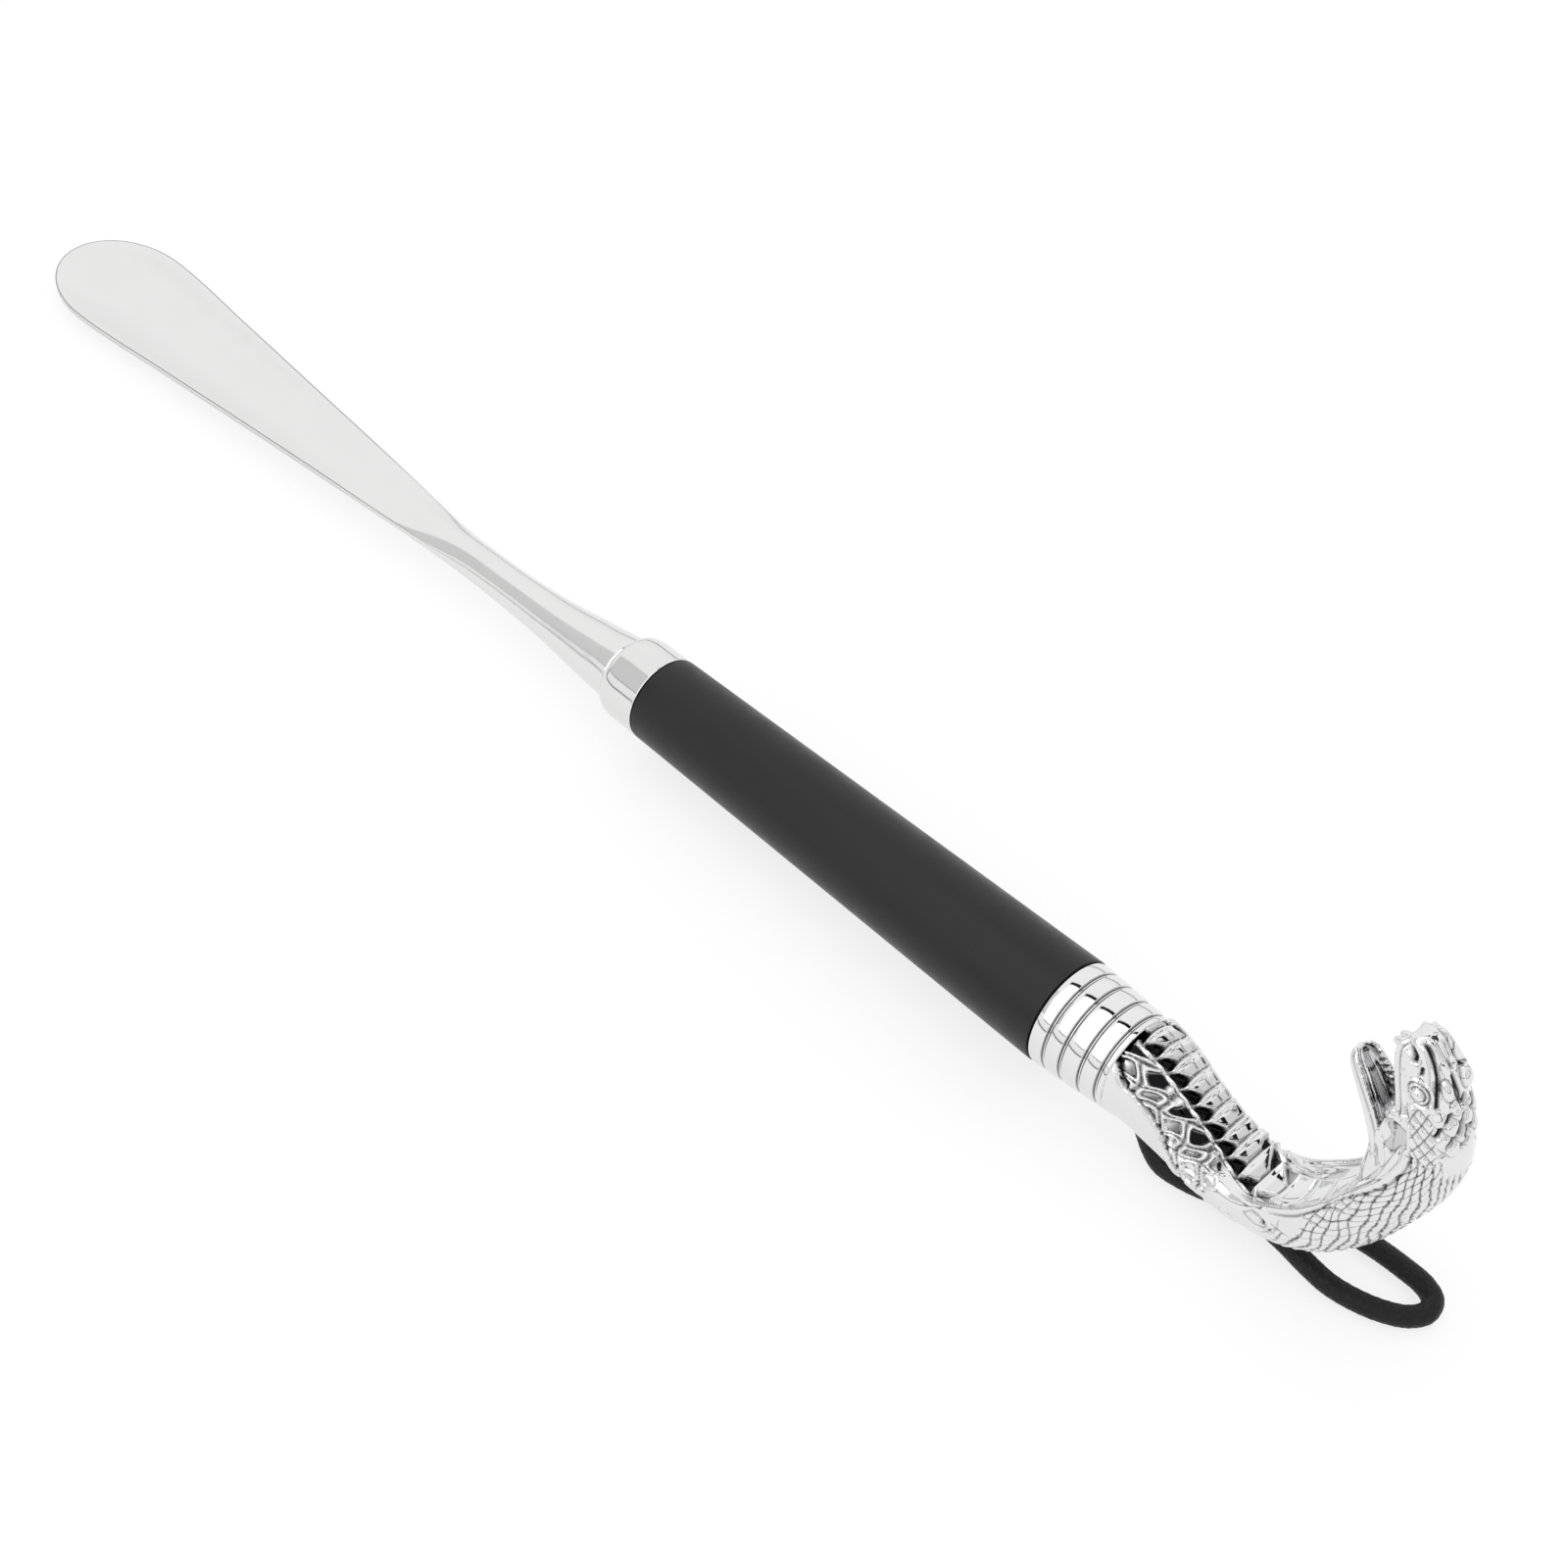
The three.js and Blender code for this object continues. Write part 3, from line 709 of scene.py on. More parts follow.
class Loft:
    """One lofted part of the snake: its points, and how far along and around each one lies."""

    def __init__(self, table, rings):
        stations = station_curve([[i, *row] for i, row in enumerate(table)])
        values = stations(np.linspace(0, len(table) - 1, rings))
        x, z, lean, half, widest, rim_half, rim, belly, back = np.split(values, values.shape[1], axis=1)
        lower = np.linspace(0, math.pi / 2, BACK_STEPS)[None, :]
        upper = np.linspace(math.pi / 2, 0, SHOULDER_STEPS)[None, 1:]
        inner = np.linspace(1, 0, BELLY_STEPS)[None, 1:]
        shoulder = rim_half + (half - rim_half) * np.sin(upper)
        y = np.hstack([half * np.sin(lower), shoulder, rim_half * inner])
        over = widest + (rim - widest) * np.cos(upper)
        under = widest - (widest + back) * np.cos(lower)
        height = np.hstack([under, over, rim + (belly - rim) * (1 - inner**2)])
        steps = np.cumsum(np.hypot(np.diff(y), np.diff(height)), axis=1)
        around = np.hstack([np.zeros((rings, 1)), steps])
        rim_at = BACK_STEPS + SHOULDER_STEPS - 2
        # Mirrored to a whole ring that starts at the middle of the back.
        y = np.hstack([y, -y[:, -2:0:-1]])
        height = np.hstack([height, height[:, -2:0:-1]])
        self.around = np.hstack([around, -around[:, -2:0:-1]])
        self.rim, self.belly = (np.repeat(around[:, [at]], y.shape[1], axis=1) for at in (rim_at, -1))
        lean = np.radians(lean)
        self.points = np.stack([x - height * np.sin(lean), y, z + height * np.cos(lean)], axis=-1)
        run = np.hypot(np.diff(x[:, 0]), np.diff(z[:, 0]))
        self.along = np.repeat(np.concatenate([[0], np.cumsum(run)])[:, None], y.shape[1], axis=1)

    def faces(self):
        return capped_faces(*self.points.shape[:2])


EGG_SEGMENTS = 28
EGG_RINGS = 18
TOOTH_SIDES = 14
TOOTH_RINGS = 12
TOOTH_CURVE = 0.12


def egg(centre, radii, tip_degrees=0):
    """Points and faces of an egg shape, tipped in the XZ plane and placed."""
    shape = bmesh.new()
    bmesh.ops.create_uvsphere(shape, u_segments=EGG_SEGMENTS, v_segments=EGG_RINGS, radius=1)
    points = np.array([vertex.co for vertex in shape.verts]) * np.array(radii)
    faces = [[vertex.index for vertex in face.verts] for face in shape.faces]
    shape.free()
    return tipped(points, tip_degrees) + np.array(centre), faces


def tipped(points, degrees):
    """Points turned from +X towards +Z."""
    s, c = math.sin(math.radians(degrees)), math.cos(math.radians(degrees))
    turn = np.array([[c, 0, -s], [0, 1, 0], [s, 0, c]])
    return points @ turn.T


def spike(centre, length, radius, tip_degrees):
    """A curved tooth whose point lies towards tip_degrees in the XZ plane."""
    t = np.linspace(0, 1, TOOTH_RINGS)
    profile = np.stack([length * t, radius * (1 - t) ** 0.75], axis=1)
    points = turned_points(profile, TOOTH_SIDES)
    points[:, 2] -= np.repeat(TOOTH_CURVE * length * t * t, TOOTH_SIDES)
    return tipped(points, tip_degrees) + np.array(centre), capped_faces(TOOTH_RINGS, TOOTH_SIDES)


def rod(start, end, radius):
    """A straight round bar between two points."""
    turn = (Vector(end) - Vector(start)).to_track_quat("X", "Z").to_matrix()
    ring = turned_points(np.array([[0, radius]]), TOOTH_SIDES) @ np.array(turn).T
    return np.vstack([ring + start, ring + end]), capped_faces(2, TOOTH_SIDES)


def web(corners, thickness):
    """A flat four-cornered skin with some thickness across."""
    near = np.array(corners, float) - [0, thickness / 2, 0]
    far = near + [0, thickness, 0]
    sides = [[i, (i + 1) % 4, 4 + (i + 1) % 4, 4 + i] for i in range(4)]
    return np.vstack([near, far]), [[3, 2, 1, 0], [4, 5, 6, 7], *sides]


# The skin at each corner of the mouth, down to the jaw: the corner, the middle and the foot of
# its front fold, then its top and foot further back.
MOUTH_SKIN = [
    [86.6, 6.1, 54.5], [84.6, 6.0, 46.0], [83.6, 5.2, 36.0], [90.5, 6.6, 51.0], [88.5, 7.6, 36.0],
]
FOLD_RADIUS = 0.75
SKIN_THICKNESS = 0.9
FANG_AT, FANG_RADII, FANG_TIP = (82.6, 0.95, 65.4), (3.0, 1.15, 1.3), 10
# The jaw's row of teeth, from the front one to the one at the back.
FRONT_TOOTH, BACK_TOOTH = np.array([74.9, 3.0, 53.4]), np.array([80.3, 4.1, 44.8])
TEETH, TOOTH_RADIUS, TOOTH_TIP = 7, 0.6, 28


def head_extras():
    """Fangs, teeth, and the skin between the corners of the mouth and the jaw."""
    extras = []
    for side in (-1, 1):
        mirror = np.array([1, side, 1])
        corner, fold, foot, behind, low = np.array(MOUTH_SKIN) * mirror
        extras += [rod(corner, fold, FOLD_RADIUS), rod(fold, foot, FOLD_RADIUS)]
        extras.append(web([corner, fold, low, behind], SKIN_THICKNESS))
        extras.append(web([fold, foot, low, behind], SKIN_THICKNESS))
        extras.append(egg(FANG_AT * mirror, FANG_RADII, FANG_TIP))
        for t in np.linspace(0, 1, TEETH):
            place = (FRONT_TOOTH + (BACK_TOOTH - FRONT_TOOTH) * t) * mirror
            extras.append(spike(place, 1.1 + 0.2 * side, TOOTH_RADIUS, TOOTH_TIP))
    return extras


VOXEL = 0.3
# Each round of relaxing pulls a point in towards its neighbours, then pushes it out a little less.
PULL_IN, PUSH_OUT = 0.6, -0.56
SURROUNDINGS_ROUNDS = 14


def fused(parts):
    """One closed skin around all the parts, as points, edges and faces in millimetres."""
    faces, start = [], 0
    for part_points, part_faces in parts:
        faces += [[start + i for i in face] for face in part_faces]
        start += len(part_points)
    mesh = new_mesh("fusing", np.vstack([part_points for part_points, _ in parts]), faces)
    holder = new_object("fusing", mesh)
    remesh = holder.modifiers.new("skin", "REMESH")
    remesh.mode = "VOXEL"
    remesh.voxel_size = VOXEL
    evaluated = holder.evaluated_get(bpy.context.evaluated_depsgraph_get())
    skin = evaluated.to_mesh()
    flat = np.empty(len(skin.vertices) * 3)
    skin.vertices.foreach_get("co", flat)
    edges = np.empty(len(skin.edges) * 2, int)
    skin.edges.foreach_get("vertices", edges)
    skin_faces = [list(polygon.vertices) for polygon in skin.polygons]
    evaluated.to_mesh_clear()
    bpy.data.objects.remove(holder)
    bpy.data.meshes.remove(mesh)
    return flat.reshape(-1, 3), edges.reshape(-1, 2), skin_faces


def neighbour_mean(edges, count):
    """A function from the points to the mean of each one's neighbours."""
    ends = np.concatenate([edges[:, 0], edges[:, 1]])
    others = np.concatenate([edges[:, 1], edges[:, 0]])
    degree = np.bincount(ends, minlength=count)[:, None]

    def mean(points):
        return np.stack([np.bincount(ends, points[others, i], count) for i in range(3)], axis=1) / degree

    return mean


def relaxed(points, edges, rounds):
    """Points moved towards their neighbours and back, to take out the steps of the fusing."""
    mean = neighbour_mean(edges, len(points))
    for share in (PULL_IN, PUSH_OUT) * rounds:
        points = points + share * (mean(points) - points)
    return points


def sunk(points, edges, normals):
    """How far each point lies below its surroundings, in millimetres."""
    mean = neighbour_mean(edges, len(points))
    soft = points
    for _ in range(SURROUNDINGS_ROUNDS):
        soft = (soft + mean(soft)) / 2
    return ((soft - points) * normals).sum(axis=1)


def outward(points, faces):
    """Unit normals at the points."""
    faces = np.array([face if len(face) == 4 else [*face, face[-1]] for face in faces])
    across = points[faces[:, 2]] - points[faces[:, 0]]
    along = points[faces[:, 3]] - points[faces[:, 1]]
    normal = np.cross(across, along)
    total = np.zeros_like(points)
    for corner in range(4):
        for i in range(3):
            total[:, i] += np.bincount(faces[:, corner], normal[:, i], len(points))
    return total / (np.linalg.norm(total, axis=1)[:, None] + 1e-12)


def nearest_places(points, lofts, extras):
    """For each point: which part it belongs to, and how far along and around that part it is."""
    rows = []
    for part, loft in enumerate(lofts):
        steps = [np.gradient(loft.points, axis=axis) for axis in (0, 1)]
        steps = [step / (np.linalg.norm(step, axis=2)[..., None] + 1e-9) for step in steps]
        values = [0 * loft.along + part, loft.along, loft.around, loft.rim, loft.belly]
        rows.append(np.concatenate([np.stack(values, axis=-1), *steps], axis=-1).reshape(-1, 11))
    loose = np.vstack([extra_points for extra_points, _ in extras])
    plain = np.zeros((len(loose), 11))
    plain[:, 0] = len(lofts)
    samples = np.vstack([*(loft.points.reshape(-1, 3) for loft in lofts), loose])
    rows = np.vstack([*rows, plain])
    tree = kdtree.KDTree(len(samples))
    for i, sample in enumerate(samples):
        tree.insert(sample, i)
    tree.balance()
    nearest = np.array([tree.find(point)[1] for point in points])
    row = rows[nearest]
    offset = points - samples[nearest]
    along = row[:, 1] + (offset * row[:, 5:8]).sum(axis=1)
    around = row[:, 2] + (offset * row[:, 8:11]).sum(axis=1)
    return row[:, 0].astype(int), along, around, row[:, 3], row[:, 4]


# ---- relief: every function gives heights in millimetres and the painted shade of the hollows


def from_line(along, across, line):
    """Distance from each place to a line of points."""
    best = np.full(along.shape, 1e9)
    for (a0, b0), (a1, b1) in zip(line, line[1:]):
        run_a, run_b = a1 - a0, b1 - b0
        t = ((along - a0) * run_a + (across - b0) * run_b) / (run_a**2 + run_b**2)
        t = np.clip(t, 0, 1)
        best = np.minimum(best, np.hypot(along - a0 - t * run_a, across - b0 - t * run_b))
    return best


def line_at(value, line):
    """Height of a line of [place, height] points over a place."""
    return np.interp(value, *np.transpose(line))


def from_oval(along, across, centre, radii):
    """Distance from an oval's centre, which is 1 on the oval."""
    return np.hypot((along - centre[0]) / radii[0], (across - centre[1]) / radii[1])


def domed(edge, power=1.0):
    """A scale's crown: level in its middle and falling to its borders."""
    return np.clip(edge / 0.4, 0, 1) ** power


def scale_cells(u, v, roundness):
    """Staggered scales one unit apart along and across: distance in from the nearest border,
    place along the scale, and the scale's row."""
    first = np.full(u.shape, 9.0)
    second = np.full(u.shape, 9.0)
    place, own_row = np.zeros(u.shape), np.zeros(u.shape)
    middle_row = np.round(v)
    for row_step in (-1, 0, 1):
        row = middle_row + row_step
        stagger = 0.5 * (row % 2)
        middle_column = np.round(u - stagger)
        for column_step in (-1, 0, 1):
            a = u - (middle_column + column_step) - stagger
            b = v - row
            r = ((2 * np.abs(a)) ** roundness + np.abs(b) ** roundness) ** (1 / roundness)
            closer = r < first
            second = np.where(closer, first, np.minimum(second, r))
            place = np.where(closer, a, place)
            own_row = np.where(closer, row, own_row)
            first = np.minimum(first, r)
    return (second - first) / 2, place, own_row


# Where the belly plates start, along the snake.
PLATE_PLACES = np.array(
    [-2.4, 0.7, 3.7, 6.7, 10.5, 14.5, 18.5, 23.4, 27.7, 32.4, 37.5, 43.5, 50, 57, 64.5, 72.5]
)
PLATE_HALF_WIDTH = 5.6
PLATE_CREST = 0.16


def belly_plates(along, inward, wrapped):
    """Broad pointed scales across the belly: steep towards the collar, sloping to the head."""
    index = np.clip(np.searchsorted(PLATE_PLACES, along) - 1, 0, len(PLATE_PLACES) - 2)
    start, end = PLATE_PLACES[index], PLATE_PLACES[index + 1]
    f = (along - start) / (end - start)
    spread = np.maximum(np.clip(inward / 3.4, 0, 1) ** 0.8, wrapped)
    low = PLATE_CREST * (1 - spread)
    high = PLATE_CREST + (1 - PLATE_CREST) * spread
    inside = rise(f, low - 0.05, low + 0.06) * fall(f, high - 0.08, high + 0.02)
    inside = inside * (inward > 0)
    slope = np.where(f < PLATE_CREST, 0.4 + 0.6 * f / PLATE_CREST, 1 - 0.62 * (f - PLATE_CREST))
    fold = 0.14 * bell(f - 0.3, 0.04)
    tips = fall(inward, 2.4, 4.6)
    link = bell(inward + 0.6, 0.5) * np.abs(np.sin(math.pi * (f - PLATE_CREST))) ** 1.6
    # Painted shade on the plates' lower slopes.
    shade = inside * rise(f, 0.3, 0.6)
    return inside * (slope - fold), (1 - inside) * tips, (1 - inside) * (1 - tips), link, shade


# Borders on the body: the hood's rim and the near side's plain patch as places [along, around],
# and the plain sheath's lip as places [around, along].
RIM_LINE = [[40, 20.4], [62, 21.0], [78, 21.1], [92.3, 17.0], [98.1, 15.0], [103.6, 13.6], [108, 12.4]]
SHEATH_LIP = [
    [0, 25], [8, 24], [11.3, 22.5], [18.8, 14.5], [22.0, 8.0], [23.8, 3.1], [27.5, 0.2], [31, -2.0],
]
SIDE_PATCH = [[29, 10.2], [36, 14.0], [43, 17.6], [50, 16.4], [57, 15.6], [63, 18.4]]
# Scratched lines and a spot on that patch.
SIDE_MARKS = [
    [[41, 16.6], [43.5, 18.3], [46, 18.0], [48.4, 16.4]],
    [[41, 16.4], [44, 15.5], [47, 15.4], [48.6, 16.2]],
    [[49, 15.6], [50.6, 15.2], [51.6, 16.4], [53, 18.4]],
    [[50.2, 17.2], [51.4, 16.4], [52.6, 16.2]],
]


def neck_scales(along, outward_from_plates):
    """Large hollow scales with thin raised rims, with painted shade in their floors and gaps, darkest
    next to the belly plates.
    """
    v = (outward_from_plates + 0.45 * np.sin(0.8 * along + 0.5)) / 3.1 - 0.7
    u = along / 7.0 + 0.3 * v + 0.09 * np.sin(3.4 * v + 0.4 * along)
    edge, place, row = scale_cells(u, np.maximum(v, 0), 1.7)
    rim = bell(edge - 0.2, 0.085)
    floor = rise(edge, 0.26, 0.4)
    gap = bell(edge, 0.07)
    height = 0.6 * rim - 0.5 * floor - 0.4 * gap - 0.5 * place
    depth = np.clip(1.05 - 0.33 * row, 0.12, 1) * (1 - 0.75 * rise(along, 22, 34))
    # Painted shade in the scale floors and gaps.
    painted_shade = floor * depth * rise(place, -0.45 + 0.2 * row, -0.1 + 0.2 * row) + 0.7 * gap
    return height, painted_shade


def hood_scales(along, reach, line):
    """Narrow keeled scales in rows that follow the hood's rim, with uneven painted shade in the gaps
    between them.
    """
    v = 17.5 * reach / line + 0.3 * np.sin(0.55 * along)
    edge, place, _ = scale_cells(along / 5.4 + 0.12 * np.sin(0.9 * reach), v, 1.8)
    gap = bell(edge, 0.18)
    uneven = 0.5 + 0.5 * np.sin(2.3 * along + 1.9 * reach) * np.sin(1.7 * reach - 1.1 * along)
    height = 0.4 * domed(edge, 0.7) - 0.5 * place - 0.15 * gap
    tapered = 0.4 + 0.6 * rise(-place, -0.3, 0.35)
    return height, gap * tapered * (0.65 + 0.75 * uneven)


BAND_ROLL = math.radians(24)
NECK_RADIUS = 9.5
PUPIL_AT, PUPIL_WIDTH = (47.3, 16.9), 0.6


def belly_band(along, off_middle):
    """The plates' heights and painted shade, how far in from the band's edge, and where the band is."""
    half = PLATE_HALF_WIDTH - 0.4 * rise(along, 20, 40)
    near_collar = fall(along, 26, 38)
    wrapped = rise(off_middle, 0.5, 2.5) * near_collar
    inward = half + 2.0 * wrapped - np.abs(off_middle)
    whole = np.maximum(wrapped, rise(along, 33, 52))
    plates, recess, seam, link, shade = belly_plates(along, inward, whole)
    plates = plates * (1 - 0.5 * rise(off_middle, -1.5, 5) * near_collar)
    early = fall(along, 32, 54)
    plate_height = (1.3 - 0.95 * rise(along, 30, 62)) * fall(along, 66, 80)
    on_belly = rise(inward, -1.5, -1.1)
    height = on_belly * (plates * plate_height - 0.9 * recess * early - 0.15 * seam)
    # Painted shade in the recesses and seams between the plates.
    recess_painted_shade = recess * early * rise(inward, -0.5, 0.3)
    painted_shade = on_belly * (recess_painted_shade + 0.55 * seam + 0.3 * early * shade)
    return height + 0.9 * link * early, painted_shade * (1 - 0.9 * link), inward, on_belly


def body_relief(along, around, rim, belly):
    side = np.sign(around)
    reach = np.abs(around)
    roll = BAND_ROLL * NECK_RADIUS * fall(along, 22, 44)
    height, painted_shade, inward, on_belly = belly_band(along, (belly - reach) * side - roll)
    line = line_at(along, RIM_LINE)
    patch = line_at(along, SIDE_PATCH)
    plain = rise(reach, patch - 0.6, patch + 0.3) * (side < 0)
    plain = plain * fall(along, 60, 66) * rise(along, 27, 33)
    cells, cell_painted_shade = neck_scales(along, -inward - 1.2)
    on_neck = (1 - on_belly) * fall(along, 33, 41) * (1 - plain * rise(reach, rim - 9, rim - 8))
    scales, scale_painted_shade = hood_scales(along, reach, line)
    bare = rise(along, 101, 105) * fall(reach, 4.5, 6.5)
    on_hood = fall(reach, line - 1.2, line - 0.6) * rise(along, 42, 54) * (1 - plain) * (1 - bare)
    height += on_neck * (cells - 0.1) + on_hood * (scales - 0.1)
    painted_shade = painted_shade + on_neck * cell_painted_shade + on_hood * scale_painted_shade
    # The hood's rim: a raised line with a groove on each side; the inner groove is given painted shade.
    rim_line = rise(along, 44, 56)
    inner_groove = bell(reach - line + 1.1, 0.35)
    height += rim_line * (0.55 * bell(reach - line, 0.5) - 0.3 * inner_groove)
    height -= rim_line * 0.3 * bell(reach - line - 1.1, 0.35)
    painted_shade = painted_shade + rim_line * 0.6 * inner_groove
    # The scratched lines and the pupil are cut in and given painted shade.
    marks = np.clip(sum(bell(from_line(along, -around, mark), 0.3) for mark in SIDE_MARKS), 0, 1)
    pupil = bell(from_oval(along, -around, PUPIL_AT, (1, 1)), PUPIL_WIDTH)
    height -= 0.3 * marks + 0.4 * pupil
    painted_shade = painted_shade + 0.4 * marks + 0.7 * pupil
    # The plain sheath laps over the scales with a rounded lip, and a painted shadow lies on the scales
    # just below it.
    lip = line_at(reach, SHEATH_LIP)
    sheath = fall(along, lip - 0.45, lip + 0.25)
    bead = 0.35 * bell(along - lip + 0.9, 0.7)
    shadow = bell(along - lip - 0.75, 0.6)
    height = (1 - sheath) * (height - 0.5 * shadow) + sheath * 0.4 + bead
    return height, (1 - sheath) * np.maximum(painted_shade, shadow)


# The near side's brow, crown and snout ridges: places along and around, width and height.
HEAD_RIDGES = [
    ([[32.2, 4.4], [29.9, 3.2], [27.7, 3.8], [24.2, 4.9], [20.2, 6.0], [17.5, 6.6]], 0.55, 0.75),
    ([[32.0, 0.9], [30.3, 1.6], [27.6, 1.2], [25.0, 1.2]], 0.5, 0.6),
    ([[25.6, 0.9], [24.0, 0.9]], 0.6, 0.6),
    ([[27.2, 6.8], [25.6, 8.0], [24.9, 10.0]], 0.4, 0.35),
    ([[18.4, 10.6], [17.0, 9.8], [13.0, 11.4]], 0.45, 0.4),
    ([[13.4, 14.4], [14.2, 12.4], [12.6, 11.2]], 0.4, 0.45),
]
HEAD_GROOVES = [
    ([[31.4, 5.6], [30.2, 5.2], [28.8, 5.3], [27.9, 6.0]], 0.42, 0.95),
    ([[31.6, 2.5], [29.0, 2.3], [26.5, 2.6], [24.0, 3.2], [20.0, 4.6], [18.0, 5.2]], 0.4, 0.7),
    ([[26.4, 5.2], [25.2, 6.0]], 0.35, 0.6),
    ([[23.2, 0.0], [19.0, 0.4], [17.0, 0.2]], 0.4, 0.6),
]
NAPE_GAPS = [
    [[17.6, 1.7], [16.9, 1.1]],
    [[14.6, 0.1], [12.8, -0.7], [11.1, -1.8]],
    [[15.6, -2.9], [14.4, -3.9]],
    [[13.2, -5.3], [11.8, -6.4]],
    [[10.4, -2.7], [9.2, -4.2]],
    [[8.8, 0.2], [7.8, -1.0]],
    [[11.2, 1.0], [10.0, 0.0]],
    [[12.6, 3.4], [10.8, 2.2]],
    [[15.8, 4.2], [14.2, 3.2]],
    [[9.6, 4.8], [8.2, 3.6]],
]
EYE_AT, EYE_RADII = (21.2, 7.9), (2.9, 2.5)
BROW_BUMP, BROW_RADII = (29.0, 7.0), (1.5, 1.2)
MOUTH_HOLLOW, MOUTH_RADII = (15.6, 12.2), (1.7, 1.1)
# Bumps on the crown: place along and around, radii along and around, height.
CROWN_BUMPS = [(20.8, -2.3, 2.3, 1.15, 1.1), (20.8, 3.6, 2.4, 1.9, 1.7), (16.9, -1.6, 1.5, 1.1, 0.5)]


def brow_and_eye(along, around):
    """Ridges, grooves and bumps of the brow, and concentric lids round the ball of the eye; painted
    shade goes in the grooves, between the lids and round the crown bumps.
    """
    reach = np.abs(around)
    height, painted_shade = np.zeros(along.shape), np.zeros(along.shape)
    for line, width, lift in HEAD_RIDGES:
        height += lift * bell(from_line(along, reach, line), width)
    for line, width, depth in HEAD_GROOVES:
        cut = bell(from_line(along, reach, line), width)
        height -= depth * cut
        painted_shade = np.maximum(painted_shade, cut)
    height += 0.5 * bell(from_oval(along, reach, BROW_BUMP, BROW_RADII), 1)
    eye = from_oval(along, reach, EYE_AT, EYE_RADII)
    height = height * rise(eye, 0.85, 1.15)
    height += 0.5 * bell(eye - 1.0, 0.13) + 0.4 * bell(eye - 0.66, 0.1) - 0.35 * bell(eye - 0.83, 0.08)
    height += 1.15 * np.clip(1 - (eye / 0.5) ** 2, 0, 1) ** 0.5 - 0.3 * bell(eye - 0.53, 0.06)
    painted_shade = np.maximum(painted_shade * rise(eye, 0.85, 1.1), 0.75 * bell(eye - 0.83, 0.07))
    painted_shade = np.maximum(painted_shade, 0.8 * bell(eye - 0.52, 0.06))
    for at, across, long_radius, wide_radius, lift in CROWN_BUMPS:
        r = from_oval(along, around, (at, across), (long_radius, wide_radius))
        dome = np.clip(1 - r**2, 0, 1) ** 0.5
        height = np.maximum(height, height * rise(r, 0.9, 1.3) + lift * dome)
        painted_shade = painted_shade * rise(r, 0.8, 1.0) + 0.6 * bell(r - 1.08, 0.1)
    return height, painted_shade


def head_relief(along, around, rim):
    reach = np.abs(around)
    height, painted_shade = brow_and_eye(along, around)
    # Painted shade in the nape's gaps and in the borders between the cheek and nape scales.
    for line in NAPE_GAPS:
        cut = bell(from_line(along, around, line), 0.62)
        height -= 0.85 * cut
        painted_shade = np.maximum(painted_shade, cut)
    # Narrow scales behind the eye, larger ones on the nape.
    edge, place, _ = scale_cells(along / 3.6, reach / 1.25, 1.6)
    cheek = rise(reach, 6, 7.2) * fall(reach, 11.4, 12.2) * fall(along, 17, 19)
    height += 0.4 * cheek * (domed(edge) - place)
    painted_shade = np.maximum(painted_shade, 0.8 * cheek * bell(edge, 0.13))
    edge, place, _ = scale_cells(along / 5.2, around / 2.3 + 0.3, 1.6)
    nape = fall(reach, 6, 7) * fall(along, 15.5, 17) * rise(along, 4, 6)
    height += 0.5 * nape * (domed(edge, 0.7) - place)
    painted_shade = np.maximum(painted_shade, 0.5 * nape * bell(edge, 0.1))
    # Double upper lip with a groove painted dark as shade, and a bare hollow behind the corner of the
    # mouth, also given painted shade.
    lip, past_rim = rise(along, 11.5, 14), reach - rim
    height += lip * (0.6 * bell(past_rim + 0.7, 0.5) + 0.45 * bell(past_rim + 2.6, 0.5))
    height -= lip * 0.45 * bell(past_rim + 1.7, 0.35)
    painted_shade = np.maximum(painted_shade, lip * 0.8 * bell(past_rim + 1.7, 0.32))
    hollow = bell(from_oval(along, reach, MOUTH_HOLLOW, MOUTH_RADII), 1)
    height -= 0.4 * hollow
    painted_shade = np.maximum(painted_shade, 0.35 * hollow)
    tip = fall(along, 29.6, 31.4)
    behind = fall(along, 9.5, 11.5) * rise(reach, 12.6, 13.4)
    height = height * tip + 0.5 * bell(reach - 12.2, 0.5) * fall(along, 10, 13) - 0.5 * behind
    return height, np.maximum(painted_shade * tip, 0.3 * behind)


def jaw_relief(along, around, rim):
    """Two raised lips with a groove inside each, plain in the mouth's trough; the grooves get painted
    shade, fainter towards the trough.
    """
    past_rim = np.abs(around) - rim
    front = rise(along, 12, 18)
    grooves = bell(past_rim + 1.4, 0.35) + bell(past_rim - 0.9, 0.35)
    ridges = 0.45 * bell(past_rim + 0.3, 0.45) + 0.3 * bell(past_rim + 2.6, 0.6)
    height = front * (ridges - 0.3 * grooves)
    painted_shade = front * (0.75 * bell(past_rim - 0.9, 0.35) + 0.5 * bell(past_rim + 1.4, 0.3))
    return height, painted_shade * (1 - 0.5 * rise(past_rim, 1.0, 2.2))


def relief(part, along, around, rim, belly):
    """Height and painted shade all over: body, head and jaw are parts 0, 1 and 2, the rest is plain."""
    height, painted_shade = np.zeros(len(part)), np.zeros(len(part))
    body, head, jaw = (part == number for number in range(3))
    height[body], painted_shade[body] = body_relief(along[body], around[body], rim[body], belly[body])
    height[head], painted_shade[head] = head_relief(along[head], around[head], rim[head])
    height[jaw], painted_shade[jaw] = jaw_relief(along[jaw], around[jaw], rim[jaw])
    return height, np.clip(painted_shade, 0, 1)


# Rings of points along the body, the head and the jaw.
LOFT_RINGS = (420, 140, 140)
CORD_BOSS_AT, CORD_BOSS_RADII = (26.6, 0, -8), (5.6, 8.2, 4.4)
